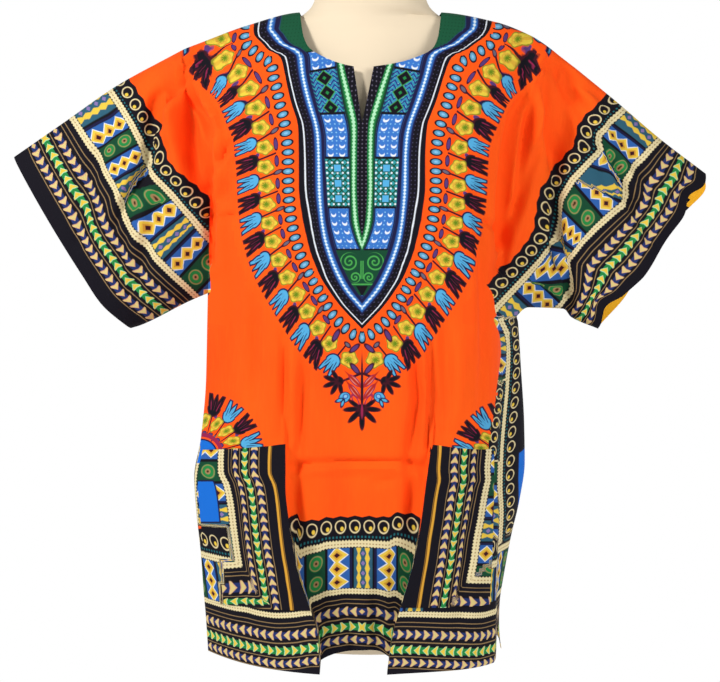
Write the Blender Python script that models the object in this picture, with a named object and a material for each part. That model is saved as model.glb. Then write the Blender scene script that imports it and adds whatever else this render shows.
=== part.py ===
"""Dashiki shirt with grown-on (kimono) half sleeves, resting on a limbless dress form.

Metres, +Z up. The shirt's front faces -Y, and +X is the right-hand side of someone looking at it.
The cloth is drawn as one surface, worked out column by column and row by row from short tables:

* a column starts on the neckline or on the crest (the top edge from the neck to the sleeve hem)
  and runs down to the hem, or in the sleeve to the underarm seam;
* rows 0 to 1 run from the crest to the armpit, and rows 1 to 2 from the armpit to the hem;
* across, a half has a body part (centre to edge line), a side part (edge line to armhole valley,
  and below it to the side seam) and a sleeve part (armhole valley to sleeve hem).

The surface is then cut into front and back at the seams, and each gets its wall inwards.
"""
import math

import bpy
import numpy as np

# ---- driving sizes ----
WALL = 0.0015                # cloth wall
SEAM_GAP = 0.0003            # between two pieces at a seam
POCKET_LIFT = 0.0004         # pocket's inner face above the front's outer face
NOTCH_DEPTH = 0.068          # V notch below the round front neckline
ARMPIT_Z = 0.445             # body's centre at the armpit row
BACK_NECK_Z = 0.786          # centre of the back neckline
HEM_CENTRE_Z = 0.031         # recessed middle of the front hem
HEM_CENTRE_TILT = 0.004      # its rise towards +X
HEM_PANEL_Z = 0.010          # front hem beside the pleats
BACK_HEM_Z = 0.012
SIDE_HEM_Z = {-1: 0.016, 1: 0.012}
POCKET_TOP_Z = 0.2836        # at the pocket's inner edge
POCKET_TOP_FALL = 0.012      # its drop out to the side seam
POCKET_BOTTOM_Z = 0.091
POCKET_BOTTOM_FALL = 0.006
VENT_TOP_Z = 0.060
VENT_SPREAD = 0.010          # how far each vent edge leaves the seam line at the hem
BACK_VENT_FLARE = 0.011
PLEAT_START = 0.97           # the pleat's fold runs from this column to column 1
PLEAT_RECESS = 0.020         # the middle's set-back at the hem
PLEAT_STAND = 0.017          # the pocket panels' stand-out at the hem
LENS_POWER = 2.4             # roundness of a sleeve's flattened section
LEFT, RIGHT = -1, 1
FRONT, BACK = -1, 1


class Table:
    """Rows of named columns, read by a smooth monotone curve along the first column."""

    def __init__(self, names, *rows):
        data = np.array(sorted(rows), dtype=float)
        self.names = names.split()
        self.key = data[:, 0]
        self.columns = {name: data[:, i] for i, name in enumerate(self.names)}

    def at(self, name, key):
        """Value of one column at the given keys, held level beyond the ends."""
        x, y = self.key, self.columns[name]
        key = np.clip(np.asarray(key, dtype=float), x[0], x[-1])
        step = np.diff(x)
        slope = np.diff(y) / step
        tangent = np.zeros_like(y)
        tangent[0], tangent[-1] = slope[0], slope[-1]
        same_way = slope[:-1] * slope[1:] > 0
        harmonic = 2 * slope[:-1] * slope[1:] / np.where(same_way, slope[:-1] + slope[1:], 1.0)
        tangent[1:-1] = np.where(same_way, harmonic, 0.0)
        i = np.clip(np.searchsorted(x, key, side="right") - 1, 0, len(x) - 2)
        u = (key - x[i]) / step[i]
        rise = step[i] * (u * (1 - u) ** 2 * tangent[i] - u ** 2 * (1 - u) * tangent[i + 1])
        return y[i] + (y[i + 1] - y[i]) * u ** 2 * (3 - 2 * u) + rise


# ---- tables of the cloth, each half's x counted outwards from the centre ----
# round front neckline from its middle (column 0) to the neck side (column 1), and the crest
NECKLINE = {
    LEFT: Table("column x z", (0.0, 0.000, 0.7330), (0.22, 0.0255, 0.7368), (0.45, 0.0455, 0.7447),
                (0.68, 0.0635, 0.7562), (0.84, 0.0705, 0.7700), (0.93, 0.0735, 0.7855),
                (0.97, 0.0752, 0.7970), (1.0, 0.0770, 0.8035)),
    RIGHT: Table("column x z", (0.0, 0.000, 0.7330), (0.22, 0.0360, 0.7365), (0.45, 0.0630, 0.7437),
                 (0.68, 0.0850, 0.7555), (0.84, 0.0918, 0.7700), (0.93, 0.0945, 0.7855),
                 (0.97, 0.0962, 0.7970), (1.0, 0.0980, 0.8035)),
}
NECK_BLEND = 0.35            # rows over which the neckline's columns join the straight ones
NOTCH_HALF_WIDTH = {LEFT: 0.010, RIGHT: 0.014}
CREST = {
    LEFT: Table("x z", (0.000, 0.806), (0.077, 0.8035), (0.140, 0.788), (0.195, 0.768), (0.222, 0.757)),
    RIGHT: Table("x z", (0.000, 0.806), (0.098, 0.8035), (0.164, 0.792), (0.200, 0.779), (0.230, 0.761)),
}
# neck_or_pleat: column through the neck side, down the pocket's inner edge to the hem pleat
# edge: line where the front turns back to the body's side
FRONT_LINES = {
    LEFT: Table("z neck_or_pleat edge",
                (0.000, 0.0500, 0.190), (0.060, 0.0531, 0.1925), (0.091, 0.0628, 0.1945),
                (0.140, 0.0780, 0.197), (0.190, 0.0865, 0.201), (0.235, 0.0912, 0.203),
                (0.284, 0.0912, 0.194), (0.360, 0.0900, 0.1865), (0.460, 0.0870, 0.184),
                (0.560, 0.0840, 0.183), (0.650, 0.0810, 0.184), (0.710, 0.0790, 0.200),
                (0.768, 0.0770, 0.195), (0.8035, 0.0770, 0.195)),
    RIGHT: Table("z neck_or_pleat edge",
                 (0.000, 0.0285, 0.160), (0.060, 0.0370, 0.1625), (0.091, 0.0460, 0.1625),
                 (0.140, 0.0604, 0.164), (0.190, 0.0700, 0.165), (0.235, 0.0758, 0.1655),
                 (0.284, 0.0818, 0.165), (0.360, 0.0850, 0.166), (0.434, 0.0880, 0.167),
                 (0.532, 0.0920, 0.1685), (0.622, 0.0950, 0.172), (0.694, 0.0970, 0.186),
                 (0.778, 0.0980, 0.200), (0.8035, 0.0980, 0.200)),
}
BACK_LINES = {
    LEFT: Table("z neck_or_pleat edge",
                (0.000, 0.080, 0.168), (0.284, 0.085, 0.168), (0.460, 0.085, 0.170),
                (0.650, 0.080, 0.182), (0.768, 0.077, 0.195), (0.8035, 0.077, 0.195)),
    RIGHT: Table("z neck_or_pleat edge",
                 (0.000, 0.080, 0.168), (0.060, 0.080, 0.174), (0.091, 0.080, 0.180),
                 (0.140, 0.081, 0.190), (0.190, 0.082, 0.202), (0.235, 0.083, 0.208),
                 (0.284, 0.085, 0.207), (0.360, 0.086, 0.202), (0.434, 0.088, 0.197),
                 (0.622, 0.092, 0.188), (0.778, 0.098, 0.200), (0.8035, 0.098, 0.200)),
}
# how far the cloth stands out from the crest's plane, by drop below the crest
FRONT_DEPTH = Table("drop centre left right",
                    (0.000, 0.000, 0.000, 0.000), (0.004, 0.022, 0.014, 0.014),
                    (0.013, 0.036, 0.024, 0.024), (0.030, 0.053, 0.034, 0.034),
                    (0.070, 0.080, 0.055, 0.052), (0.110, 0.097, 0.070, 0.064),
                    (0.160, 0.109, 0.084, 0.072), (0.250, 0.120, 0.094, 0.070),
                    (0.350, 0.127, 0.095, 0.062), (0.450, 0.129, 0.090, 0.064),
                    (0.540, 0.130, 0.082, 0.076), (0.620, 0.131, 0.070, 0.084),
                    (0.720, 0.132, 0.056, 0.092), (0.800, 0.132, 0.045, 0.098))
BACK_DEPTH = Table("drop centre left right",
                   (0.000, 0.000, 0.000, 0.000), (0.004, 0.024, 0.015, 0.015),
                   (0.013, 0.040, 0.026, 0.026), (0.030, 0.058, 0.038, 0.038),
                   (0.070, 0.084, 0.060, 0.060), (0.110, 0.100, 0.074, 0.074),
                   (0.160, 0.112, 0.086, 0.084), (0.250, 0.121, 0.095, 0.090),
                   (0.400, 0.124, 0.096, 0.088), (0.600, 0.125, 0.092, 0.086),
                   (0.800, 0.126, 0.090, 0.084))
CORNER_POWER = {(FRONT, LEFT): 3.5, (FRONT, RIGHT): 6.0, (BACK, LEFT): 3.5, (BACK, RIGHT): 3.5}
# armhole valley, row 0 to 1: the line that the sleeve comes out of
VALLEY = {
    LEFT: Table("row x y z", (0.00, 0.222, 0.000, 0.757), (0.25, 0.222, 0.000, 0.700),
                (0.50, 0.203, 0.000, 0.634), (0.75, 0.181, 0.002, 0.548), (1.00, 0.163, 0.005, 0.468)),
    RIGHT: Table("row x y z", (0.00, 0.230, 0.000, 0.761), (0.25, 0.206, 0.000, 0.682),
                 (0.50, 0.184, 0.000, 0.604), (0.75, 0.176, 0.000, 0.512), (1.00, 0.1888, 0.000, 0.4236)),
}
# side seam below the armpit
SIDE_SEAM = {
    LEFT: Table("z x y", (0.000, 0.160, 0.030), (0.091, 0.165, 0.030), (0.235, 0.170, 0.028),
                (0.360, 0.160, 0.022), (0.468, 0.163, 0.005)),
    RIGHT: Table("z x y", (0.000, 0.166, -0.030), (0.091, 0.167, -0.028), (0.235, 0.169, -0.025),
                 (0.360, 0.174, -0.018), (0.424, 0.1888, 0.000)),
}
# sleeve: top edge and underarm seam from the valley (0) to the hem (1), and the hem from crest to underarm
SLEEVE_TOP = {
    LEFT: Table("along x y z", (0.0, 0.222, 0.000, 0.757), (0.36, 0.305, 0.030, 0.716),
                (0.68, 0.3743, 0.055, 0.672), (1.0, 0.444, 0.075, 0.627)),
    RIGHT: Table("along x y z", (0.0, 0.230, 0.000, 0.761), (0.36, 0.3074, 0.030, 0.7045),
                 (0.70, 0.3776, 0.060, 0.650), (1.0, 0.441, 0.088, 0.606)),
}
SLEEVE_UNDER = {
    LEFT: Table("along x y z", (0.0, 0.163, 0.005, 0.468), (0.40, 0.2125, 0.005, 0.4480),
                (0.90, 0.2795, 0.018, 0.4150), (1.0, 0.291, 0.020, 0.4115)),
    RIGHT: Table("along x y z", (0.0, 0.1888, 0.000, 0.4236), (0.20, 0.2075, 0.000, 0.4390),
                 (0.60, 0.2520, 0.000, 0.4372), (0.68, 0.2610, 0.000, 0.4270), (1.0, 0.295, 0.000, 0.4122)),
}
SLEEVE_HEM = {
    LEFT: Table("row x y z", (0.00, 0.444, 0.075, 0.627), (0.45, 0.3818, 0.045, 0.528),
                (0.68, 0.3486, 0.035, 0.4767), (0.85, 0.3245, 0.025, 0.4418), (1.00, 0.291, 0.020, 0.4115)),
    RIGHT: Table("row x y z", (0.00, 0.441, 0.088, 0.606), (0.06, 0.438, 0.082, 0.592),
                 (0.20, 0.416, 0.066, 0.563), (0.40, 0.3815, 0.045, 0.5234),
                 (0.64, 0.3515, 0.025, 0.4787), (0.76, 0.328, 0.015, 0.4570),
                 (1.00, 0.295, 0.000, 0.4122)),
}
# the back layer of the sleeve mouth reaches further out than the front one at these rows
MOUTH_BACK_REACH = {
    LEFT: Table("row reach", (0.0, 0.0), (0.3, 0.002), (0.7, 0.002), (1.0, 0.0)),
    RIGHT: Table("row reach", (0.0, 0.0), (0.12, 0.010), (0.30, 0.004), (0.6, 0.004), (0.80, 0.012),
                 (1.0, 0.0)),
}
# half of the gap between a sleeve's front and back
SLEEVE_BULGE = {
    FRONT: Table("along left right", (0.0, 0.050, 0.048), (0.3, 0.042, 0.040), (0.7, 0.034, 0.034),
                 (1.0, 0.030, 0.032)),
    BACK: Table("along left right", (0.0, 0.060, 0.060), (0.3, 0.048, 0.048), (0.7, 0.038, 0.040),
                (1.0, 0.032, 0.036)),
}
SLEEVE_LENGTH = 0.20
# the long fold that leaves the shoulder point and crosses the sleeve; the sleeve's columns follow it
SLEEVE_FOLD = {
    LEFT: Table("row along depth", (0.0, 0.10, 0.0), (0.12, 0.12, 0.008), (0.25, 0.17, 0.013),
                (0.45, 0.36, 0.009), (0.62, 0.58, 0.006), (0.80, 0.74, 0.005), (1.0, 0.84, 0.0)),
    RIGHT: Table("row along depth", (0.0, 0.12, 0.0), (0.12, 0.15, 0.012), (0.25, 0.20, 0.018),
                 (0.50, 0.27, 0.020), (0.70, 0.34, 0.018), (0.85, 0.50, 0.014), (1.0, 0.62, 0.0)),
}
FOLD_SHARE = 0.45            # share of the sleeve's columns inside that fold
FOLD_WIDTH = 0.013

# soft troughs of the front: start and end (x, z), depth and half-width at both ends
FRONT_TROUGHS = (
    # x0, z0, x1, z1, depth0, depth1, width0, width1
    (-0.090, 0.440, -0.094, 0.290, 0.001, 0.006, 0.008, 0.012),
    (-0.155, 0.620, -0.172, 0.690, 0.004, 0.003, 0.008, 0.006),
    (0.100, 0.420, 0.090, 0.290, 0.002, 0.006, 0.010, 0.014),
    (0.140, 0.400, 0.125, 0.300, 0.003, 0.006, 0.010, 0.014),
    (0.258, 0.700, 0.290, 0.640, 0.006, 0.009, 0.009, 0.011),
    (0.290, 0.640, 0.330, 0.560, 0.009, 0.010, 0.011, 0.012),
)
# hanging folds of the back: x, top and bottom height, depth at the hem, half-width
BACK_TROUGHS = (
    # x0, z0, x1, z1, depth0, depth1, width0, width1
    (-0.060, 0.560, -0.050, 0.015, 0.003, 0.012, 0.020, 0.026),
    (-0.130, 0.620, -0.125, 0.015, 0.004, 0.014, 0.014, 0.022),
    (0.035, 0.500, 0.045, 0.015, 0.003, 0.010, 0.020, 0.024),
    (0.125, 0.600, 0.120, 0.015, 0.004, 0.015, 0.014, 0.022),
)

# ---- grid ----
UPPER_ROWS = (0.0, 0.012, 0.04, 0.09, 0.16, 0.24, 0.35, 0.47, 0.60, 0.73, 0.86, 0.96, 1.0)
NOTCH_ROW = 5
LOWER_ROWS = (1.0, 1.07, 1.15, 1.23, 1.30, 1.372, 1.45, 1.53, 1.61, 1.68, 1.75, 1.8176, 1.889, 1.95, 2.0)
POCKET_ROWS = (5, 11)        # first and last lower row of the pockets
INNER_COLUMNS = {FRONT: (0.0, 0.22, 0.45, 0.68, 0.84, 0.93, PLEAT_START), BACK: (0.0, 0.3, 0.6, 0.86)}
OUTER_COLUMNS = {
    LEFT: (1.0, 1.18, 1.36, 1.55, 1.72, 1.84, 2.0),
    RIGHT: (1.0, 1.20, 1.40, 1.60, 1.78, 1.93, 2.0),
}
POCKET_COLUMNS = (7, 12)     # first and last body column of the pockets
CREST_BLEND = 0.25           # rows over which the shoulder's side starts to turn back
ARMPIT_ROWS = (0.80, 1.10)   # rows over which the side turns from the sleeve to the side seam
SIDE_COLUMNS = (0.0, 0.15, 0.35, 0.60, 0.82, 1.0)
SLEEVE_COLUMNS = (0.0, 0.18, 0.36, 0.45, 0.50, 0.62, 0.80, 1.0)

# ---- dress form: oval rings, each with its half-width, the y of its centre and its half-depth ----
FORM_X = 0.0105
FORM_SIDES = 28
FORM_RINGS = Table("z half_width centre_y half_depth",
                   (0.000, 0.094, 0.0430, 0.0500), (0.006, 0.098, 0.0440, 0.0530),
                   (0.050, 0.112, 0.0430, 0.0620), (0.120, 0.128, 0.0370, 0.0720),
                   (0.200, 0.136, 0.0280, 0.0800), (0.300, 0.134, 0.0190, 0.0860),
                   (0.400, 0.136, 0.0140, 0.0910), (0.500, 0.146, 0.0110, 0.0970),
                   (0.580, 0.156, 0.0090, 0.0980), (0.650, 0.164, 0.0070, 0.0900),
                   (0.700, 0.168, 0.0050, 0.0740), (0.730, 0.168, 0.0030, 0.0610),
                   (0.750, 0.167, 0.0020, 0.0520), (0.765, 0.162, 0.0010, 0.0450),
                   (0.776, 0.152, 0.0010, 0.0400), (0.784, 0.139, 0.0010, 0.0365),
                   (0.790, 0.124, 0.0010, 0.0345), (0.795, 0.1045, 0.0010, 0.0335),
                   (0.799, 0.0850, 0.0010, 0.0330), (0.803, 0.0800, 0.0015, 0.0400),
                   (0.810, 0.073, 0.0020, 0.0460), (0.820, 0.0685, 0.0020, 0.0480),
                   (0.840, 0.065, 0.0020, 0.0490), (0.860, 0.064, 0.0025, 0.0495))
FORM_LEVELS = (0.0, 0.006, 0.05, 0.12, 0.2, 0.3, 0.4, 0.5, 0.58, 0.65, 0.7, 0.73, 0.75, 0.765,
               0.776, 0.784, 0.79, 0.795, 0.799, 0.803, 0.81, 0.82, 0.84, 0.86)

MATERIALS = {
    # name: colour, roughness
    "cloth_front": ((0.95, 0.13, 0.01), 0.75),
    "cloth_back": ((0.85, 0.11, 0.01), 0.75),
    "cloth_pocket": ((0.03, 0.03, 0.08), 0.75),
    "form_ivory": ((0.86, 0.80, 0.66), 0.45),
}


def unit(vectors):
    """Vectors scaled to length one."""
    return vectors / np.maximum(np.linalg.norm(vectors, axis=-1, keepdims=True), 1e-9)


def ramp(value, start, end):
    """Smooth 0 to 1 between start and end."""
    u = np.clip((value - start) / (end - start), 0.0, 1.0)
    return u * u * (3 - 2 * u)


def lens(row):
    """Section of a flattened sleeve: 0 at its two edges and 1 in the middle."""
    off_middle = np.clip(np.abs(2 * row - 1), 0.0, 1.0)
    return (1 - off_middle ** LENS_POWER) ** (1 / LENS_POWER)


def troughs(table, x, z):
    """Depth of the soft troughs at the given places."""
    depth = np.zeros(np.broadcast(x, z).shape)
    for x0, z0, x1, z1, depth0, depth1, width0, width1 in table:
        length = math.hypot(x1 - x0, z1 - z0)
        along = ((x - x0) * (x1 - x0) + (z - z0) * (z1 - z0)) / length ** 2
        off = ((x - x0) * (z1 - z0) - (z - z0) * (x1 - x0)) / length
        held = np.clip(along, 0.0, 1.0)
        beyond = (along - held) * length
        width = width0 + (width1 - width0) * held
        size = depth0 + (depth1 - depth0) * held
        depth += size * np.exp(-(off ** 2 + beyond ** 2) / width ** 2)
    return depth


def lower_height(row, top, bottom, outer):
    """Height at a lower row: armpit, pocket's top, pocket's bottom and hem, even in between."""
    pocket_top = POCKET_TOP_Z - POCKET_TOP_FALL * outer
    pocket_bottom = POCKET_BOTTOM_Z - POCKET_BOTTOM_FALL * outer
    first, last = (LOWER_ROWS[k] for k in POCKET_ROWS)
    above = top + (pocket_top - top) * (row - 1) / (first - 1)
    beside = pocket_top + (pocket_bottom - pocket_top) * (row - first) / (last - first)
    below = pocket_bottom + (bottom - pocket_bottom) * (row - last) / (2 - last)
    return np.where(row < first, above, np.where(row < last, beside, below))


def body(face, side, row, column):
    """Points of the body part: column 0 is the centre, 1 the neck side or pleat, 2 the edge line."""
    lines = (FRONT_LINES if face == FRONT else BACK_LINES)[side]
    crest = CREST[side]
    neck_x = NECKLINE[side].columns["x"][-1]
    edge_x = CREST[side].key[3]
    outer = np.clip(column - 1, 0, 1)
    top_x = np.where(column <= 1, column * neck_x, neck_x + outer * (edge_x - neck_x))
    if face == FRONT:
        neck_z = NECKLINE[side].at("z", column)
    else:
        round_neck = np.sqrt(np.clip(1 - (top_x / neck_x) ** 2, 0, 1))
        neck_z = crest.at("z", neck_x) + (BACK_NECK_Z - crest.at("z", neck_x)) * round_neck
    top_z = np.where(column < 1, neck_z, crest.at("z", top_x))
    armpit_z = ARMPIT_Z + (VALLEY[side].at("z", 1.0) - 0.006 - ARMPIT_Z) * (column / 2) ** 2
    if face == FRONT:
        outside = ramp(column, PLEAT_START, 1.0)
        middle_z = HEM_CENTRE_Z + HEM_CENTRE_TILT * side * np.clip(column, 0, 1)
        panel_z = HEM_PANEL_Z + (SIDE_HEM_Z[side] - HEM_PANEL_Z) * outer ** 2
        hem_z = middle_z + (panel_z - middle_z) * outside
    else:
        outside = np.zeros_like(column)
        hem_z = BACK_HEM_Z + (SIDE_HEM_Z[side] - BACK_HEM_Z) * outer ** 2
    upper_z = top_z + (armpit_z - top_z) * np.clip(row, 0, 1)
    z = np.where(row <= 1, upper_z, lower_height(row, armpit_z, hem_z, outer))
    pleat_x, line_x = lines.at("neck_or_pleat", z), lines.at("edge", z)
    x = np.where(column <= 1, column * pleat_x, pleat_x + outer * (line_x - pleat_x))
    if face == FRONT:
        near_neck = (column < 1) * (1 - ramp(row, 0.0, NECK_BLEND))
        x = x + (NECKLINE[side].at("x", column) - x) * near_neck
        opening = NOTCH_HALF_WIDTH[side] * np.clip(1 - (top_z - z) / NOTCH_DEPTH, 0, 1)
        x = np.where(row < UPPER_ROWS[NOTCH_ROW] - 1e-6, np.maximum(x, opening), x)
    depths = FRONT_DEPTH if face == FRONT else BACK_DEPTH
    drop = np.clip(crest.at("z", x) - z, 0, None)
    at_centre = depths.at("centre", drop)
    at_edge = depths.at("left" if side == LEFT else "right", drop)
    share = np.clip(x / line_x, 0, 1) ** CORNER_POWER[face, side]
    depth = at_centre + (at_edge - at_centre) * share
    if face == FRONT:
        fade = ramp(z, 0.36, 0.06)
        depth = depth - PLEAT_RECESS * fade * (1 - outside)
        depth = depth + PLEAT_STAND * fade * outside * (1 - outer) ** 2
    table = FRONT_TROUGHS if face == FRONT else BACK_TROUGHS
    depth = depth - troughs(table, side * x, z) * ramp(drop, 0.0, 0.05)
    return np.stack([side * x, face * depth, z], axis=-1)


def sleeve(face, side, row, along):
    """Points of the sleeve part: along is 0 at the armhole valley and 1 at the hem."""
    top, under, hem, valley = SLEEVE_TOP[side], SLEEVE_UNDER[side], SLEEVE_HEM[side], VALLEY[side]
    point = []
    for axis in "xyz":
        rows_part = (1 - along) * valley.at(axis, row) + along * hem.at(axis, row)
        edge_part = (1 - row) * top.at(axis, along) + row * under.at(axis, along)
        corners = ((1 - row) * ((1 - along) * top.at(axis, 0) + along * top.at(axis, 1))
                   + row * ((1 - along) * under.at(axis, 0) + along * under.at(axis, 1)))
        point.append(rows_part + edge_part - corners)
    x, y, z = point
    if face == BACK:
        x = x + MOUTH_BACK_REACH[side].at("reach", row) * along ** 3
    bulge = SLEEVE_BULGE[face].at("left" if side == LEFT else "right", along) * lens(row)
    fold = SLEEVE_FOLD[side]
    off = (along - fold.at("along", row)) * SLEEVE_LENGTH / FOLD_WIDTH
    bulge = bulge - fold.at("depth", row) * np.exp(-off ** 2) * (1.0 if face == FRONT else 0.5)
    if face == FRONT:
        bulge = bulge - troughs(FRONT_TROUGHS, side * x, z) * lens(row)
    return np.stack([side * x, y + face * bulge, z], axis=-1)


def sleeve_place(side, row, column):
    """Share of the sleeve's length at a sleeve column, so that the columns follow the long fold."""
    fold = SLEEVE_FOLD[side].at("along", row)
    inner = column / FOLD_SHARE * fold
    outer = fold + (column - FOLD_SHARE) / (1 - FOLD_SHARE) * (1 - fold)
    return np.where(column <= FOLD_SHARE, inner, outer)


def side_part(face, side, row, column):
    """Points between the edge line (column 0) and the armhole valley or side seam (column 1)."""
    start = body(face, side, row, np.full_like(row, 2.0))
    before = body(face, side, row, np.full_like(row, 1.9))
    upper = np.clip(row, 0, 1)
    valley = sleeve(face, side, upper, np.zeros_like(row))
    outwards = sleeve(face, side, upper, np.full_like(row, 0.06)) - valley
    seam_z = lower_height(np.clip(row, 1, 2), VALLEY[side].at("z", 1.0), SIDE_HEM_Z[side], 1.0)
    vent = np.clip((VENT_TOP_Z - seam_z) / VENT_TOP_Z, 0, 1)
    flare = BACK_VENT_FLARE * vent * (1 if face == BACK else 0)
    seam_x = SIDE_SEAM[side].at("x", seam_z) + flare
    seam_y = SIDE_SEAM[side].at("y", seam_z) + face * VENT_SPREAD * vent
    seam = np.stack([side * seam_x, seam_y, seam_z], axis=-1)
    below = ramp(row, *ARMPIT_ROWS)[..., None]
    end = np.where((row <= 1)[..., None], valley, seam)
    turn = ramp(row, 0.0, CREST_BLEND)[..., None]
    leave = unit(start - before) * (1 - 0.65 * turn) + np.array([0.0, -face * 0.9, 0.0]) * turn
    arrive = unit(unit(outwards) * (1 - below) + np.array([0.0, -face * 1.0, 0.0]) * below)
    reach = np.linalg.norm(end - start, axis=-1, keepdims=True)
    first = start + unit(leave) * reach * 0.42
    second = end - arrive * reach * 0.36
    u = column[..., None]
    return ((1 - u) ** 3 * start + 3 * u * (1 - u) ** 2 * first
            + 3 * u * u * (1 - u) * second + u ** 3 * end)


def grid(function, face, side, rows, columns):
    """Points of one part on its rows and columns."""
    row, column = np.meshgrid(np.array(rows), np.array(columns), indexing="ij")
    return function(face, side, row, column)


def sleeve_part(face, side, row, column):
    """Sleeve points on columns that follow the long fold."""
    return sleeve(face, side, row, sleeve_place(side, row, column))


class Cloth:
    """Shared points and triangles of the whole shirt, each triangle marked with its piece."""

    def __init__(self):
        self.points = []
        self.places = {}
        self.triangles = []
        self.pieces = []
        self.tags = []

    def index(self, point):
        """Number of a point, the same for points that coincide."""
        key = tuple(int(round(value * 1e6)) for value in point)
        if key not in self.places:
            self.places[key] = len(self.points)
            self.points.append(np.array(point, dtype=float))
        return self.places[key]

    def add_grid(self, points, piece, turned, tag=None):
        """Two triangles for each cell, across its shorter diagonal; turned reverses them."""
        rows, columns = points.shape[:2]
        number = [[self.index(points[i, j]) for j in range(columns)] for i in range(rows)]
        for i in range(rows - 1):
            for j in range(columns - 1):
                a, b, c, d = number[i][j], number[i + 1][j], number[i + 1][j + 1], number[i][j + 1]
                across = np.linalg.norm(self.points[a] - self.points[c])
                other = np.linalg.norm(self.points[b] - self.points[d])
                pair = ((a, b, c), (a, c, d)) if across <= other else ((a, b, d), (b, c, d))
                for triangle in pair:
                    if len(set(triangle)) < 3:
                        continue
                    self.triangles.append(triangle[::-1] if turned else triangle)
                    self.pieces.append(piece)
                    self.tags.append((tag, i, j))

    def normals(self):
        """Outward normal of every point, from all triangles that meet there."""
        points = np.array(self.points)
        triangles = np.array(self.triangles)
        a, b, c = (points[triangles[:, k]] for k in range(3))
        face_normals = np.cross(b - a, c - a)
        total = np.zeros_like(points)
        for k in range(3):
            np.add.at(total, triangles[:, k], face_normals)
        return unit(total)


def draw_cloth():
    """The whole shirt's surface, sides, front and back."""
    cloth = Cloth()
    for face, piece in ((FRONT, "front"), (BACK, "back")):
        for side in (LEFT, RIGHT):
            turned = face * side > 0
            columns = INNER_COLUMNS[face] + OUTER_COLUMNS[side]
            for rows, level in ((UPPER_ROWS, "upper"), (LOWER_ROWS, "lower")):
                tag = (face, side, level)
                cloth.add_grid(grid(body, face, side, rows, columns), piece, turned, tag + ("body",))
                cloth.add_grid(grid(side_part, face, side, rows, SIDE_COLUMNS), piece, turned)
            cloth.add_grid(grid(sleeve_part, face, side, UPPER_ROWS, SLEEVE_COLUMNS), piece, turned)
    return cloth


def seam_shift(points, triangles, shared, normals):
    """Small move of each shared point into its own piece, square to the seam."""
    towards = {}
    along = {}
    for triangle in triangles:
        for k in range(3):
            here = triangle[k]
            if here not in shared:
                continue
            for other in (triangle[(k + 1) % 3], triangle[(k + 2) % 3]):
                target = along if other in shared else towards
                target.setdefault(here, []).append(points[other] - points[here])
    moves = {}
    for here, vectors in towards.items():
        move = np.mean([vector / np.linalg.norm(vector) for vector in vectors], axis=0)
        tangents = along.get(here, [])
        if tangents:
            tangent = tangents[0] / np.linalg.norm(tangents[0])
            move = move - tangent * np.dot(move, tangent)
        move = move - normals[here] * np.dot(move, normals[here])
        moves[here] = move / max(np.linalg.norm(move), 1e-9) * (SEAM_GAP * 0.55)
    return moves


def make_solid(name, points, normals, triangles, material, wall=WALL, moves=None, lift=0.0):
    """A closed wall: the given surface outside, its offset inside, and a rim along its edges."""
    used = sorted({index for triangle in triangles for index in triangle})
    order = {index: k for k, index in enumerate(used)}
    moves = moves or {}
    outer = []
    inner = []
    for index in used:
        base = points[index] + moves.get(index, 0.0) + normals[index] * lift
        outer.append(base)
        inner.append(base - normals[index] * wall)
    count = len(used)
    faces = []
    edges = {}
    for triangle in triangles:
        a, b, c = (order[index] for index in triangle)
        faces.append((a, b, c))
        faces.append((count + c, count + b, count + a))
        for start, end in ((a, b), (b, c), (c, a)):
            edges[start, end] = edges.get((start, end), 0) + 1
    for start, end in edges:
        if (end, start) not in edges:
            faces.append((end, start, count + start))
            faces.append((end, count + start, count + end))
    mesh = bpy.data.meshes.new(name)
    mesh.from_pydata([tuple(point) for point in outer + inner], [], faces)
    mesh.update()
    mesh.shade_smooth()
    mesh.set_sharp_from_angle(angle=math.radians(60))
    return add_object(name, mesh, material)


def add_object(name, mesh, material):
    """Link a mesh as a named object with its material."""
    thing = bpy.data.objects.new(name, mesh)
    mesh.materials.append(material)
    bpy.context.scene.collection.objects.link(thing)
    return thing


def make_materials():
    """One Principled material for each entry of MATERIALS."""
    made = {}
    for name, (colour, roughness) in MATERIALS.items():
        material = bpy.data.materials.new(name)
        material.use_nodes = True
        shader = material.node_tree.nodes["Principled BSDF"]
        shader.inputs["Base Color"].default_value = (*colour, 1.0)
        shader.inputs["Roughness"].default_value = roughness
        shader.inputs["Metallic"].default_value = 0.0
        made[name] = material
    return made


def make_form(material):
    """Neck, shoulders and torso in oval rings on a flat base, with a flat neck top."""
    points = []
    for z in FORM_LEVELS:
        half_width, centre_y, half_depth = (FORM_RINGS.at(name, z) for name in FORM_RINGS.names[1:])
        for k in range(FORM_SIDES):
            angle = 2 * math.pi * k / FORM_SIDES
            x, y = FORM_X + half_width * math.cos(angle), centre_y + half_depth * math.sin(angle)
            points.append((x, y, z))
    faces = []
    for ring in range(len(FORM_LEVELS) - 1):
        for k in range(FORM_SIDES):
            after = (k + 1) % FORM_SIDES
            low, high = ring * FORM_SIDES, (ring + 1) * FORM_SIDES
            faces.append((low + k, low + after, high + after, high + k))
    faces.append(tuple(range(FORM_SIDES))[::-1])
    last = (len(FORM_LEVELS) - 1) * FORM_SIDES
    faces.append(tuple(range(last, last + FORM_SIDES)))
    mesh = bpy.data.meshes.new("dress_form")
    mesh.from_pydata(points, [], faces)
    mesh.update()
    mesh.shade_smooth()
    mesh.set_sharp_from_angle(angle=math.radians(50))
    return add_object("dress_form", mesh, material)


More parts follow.
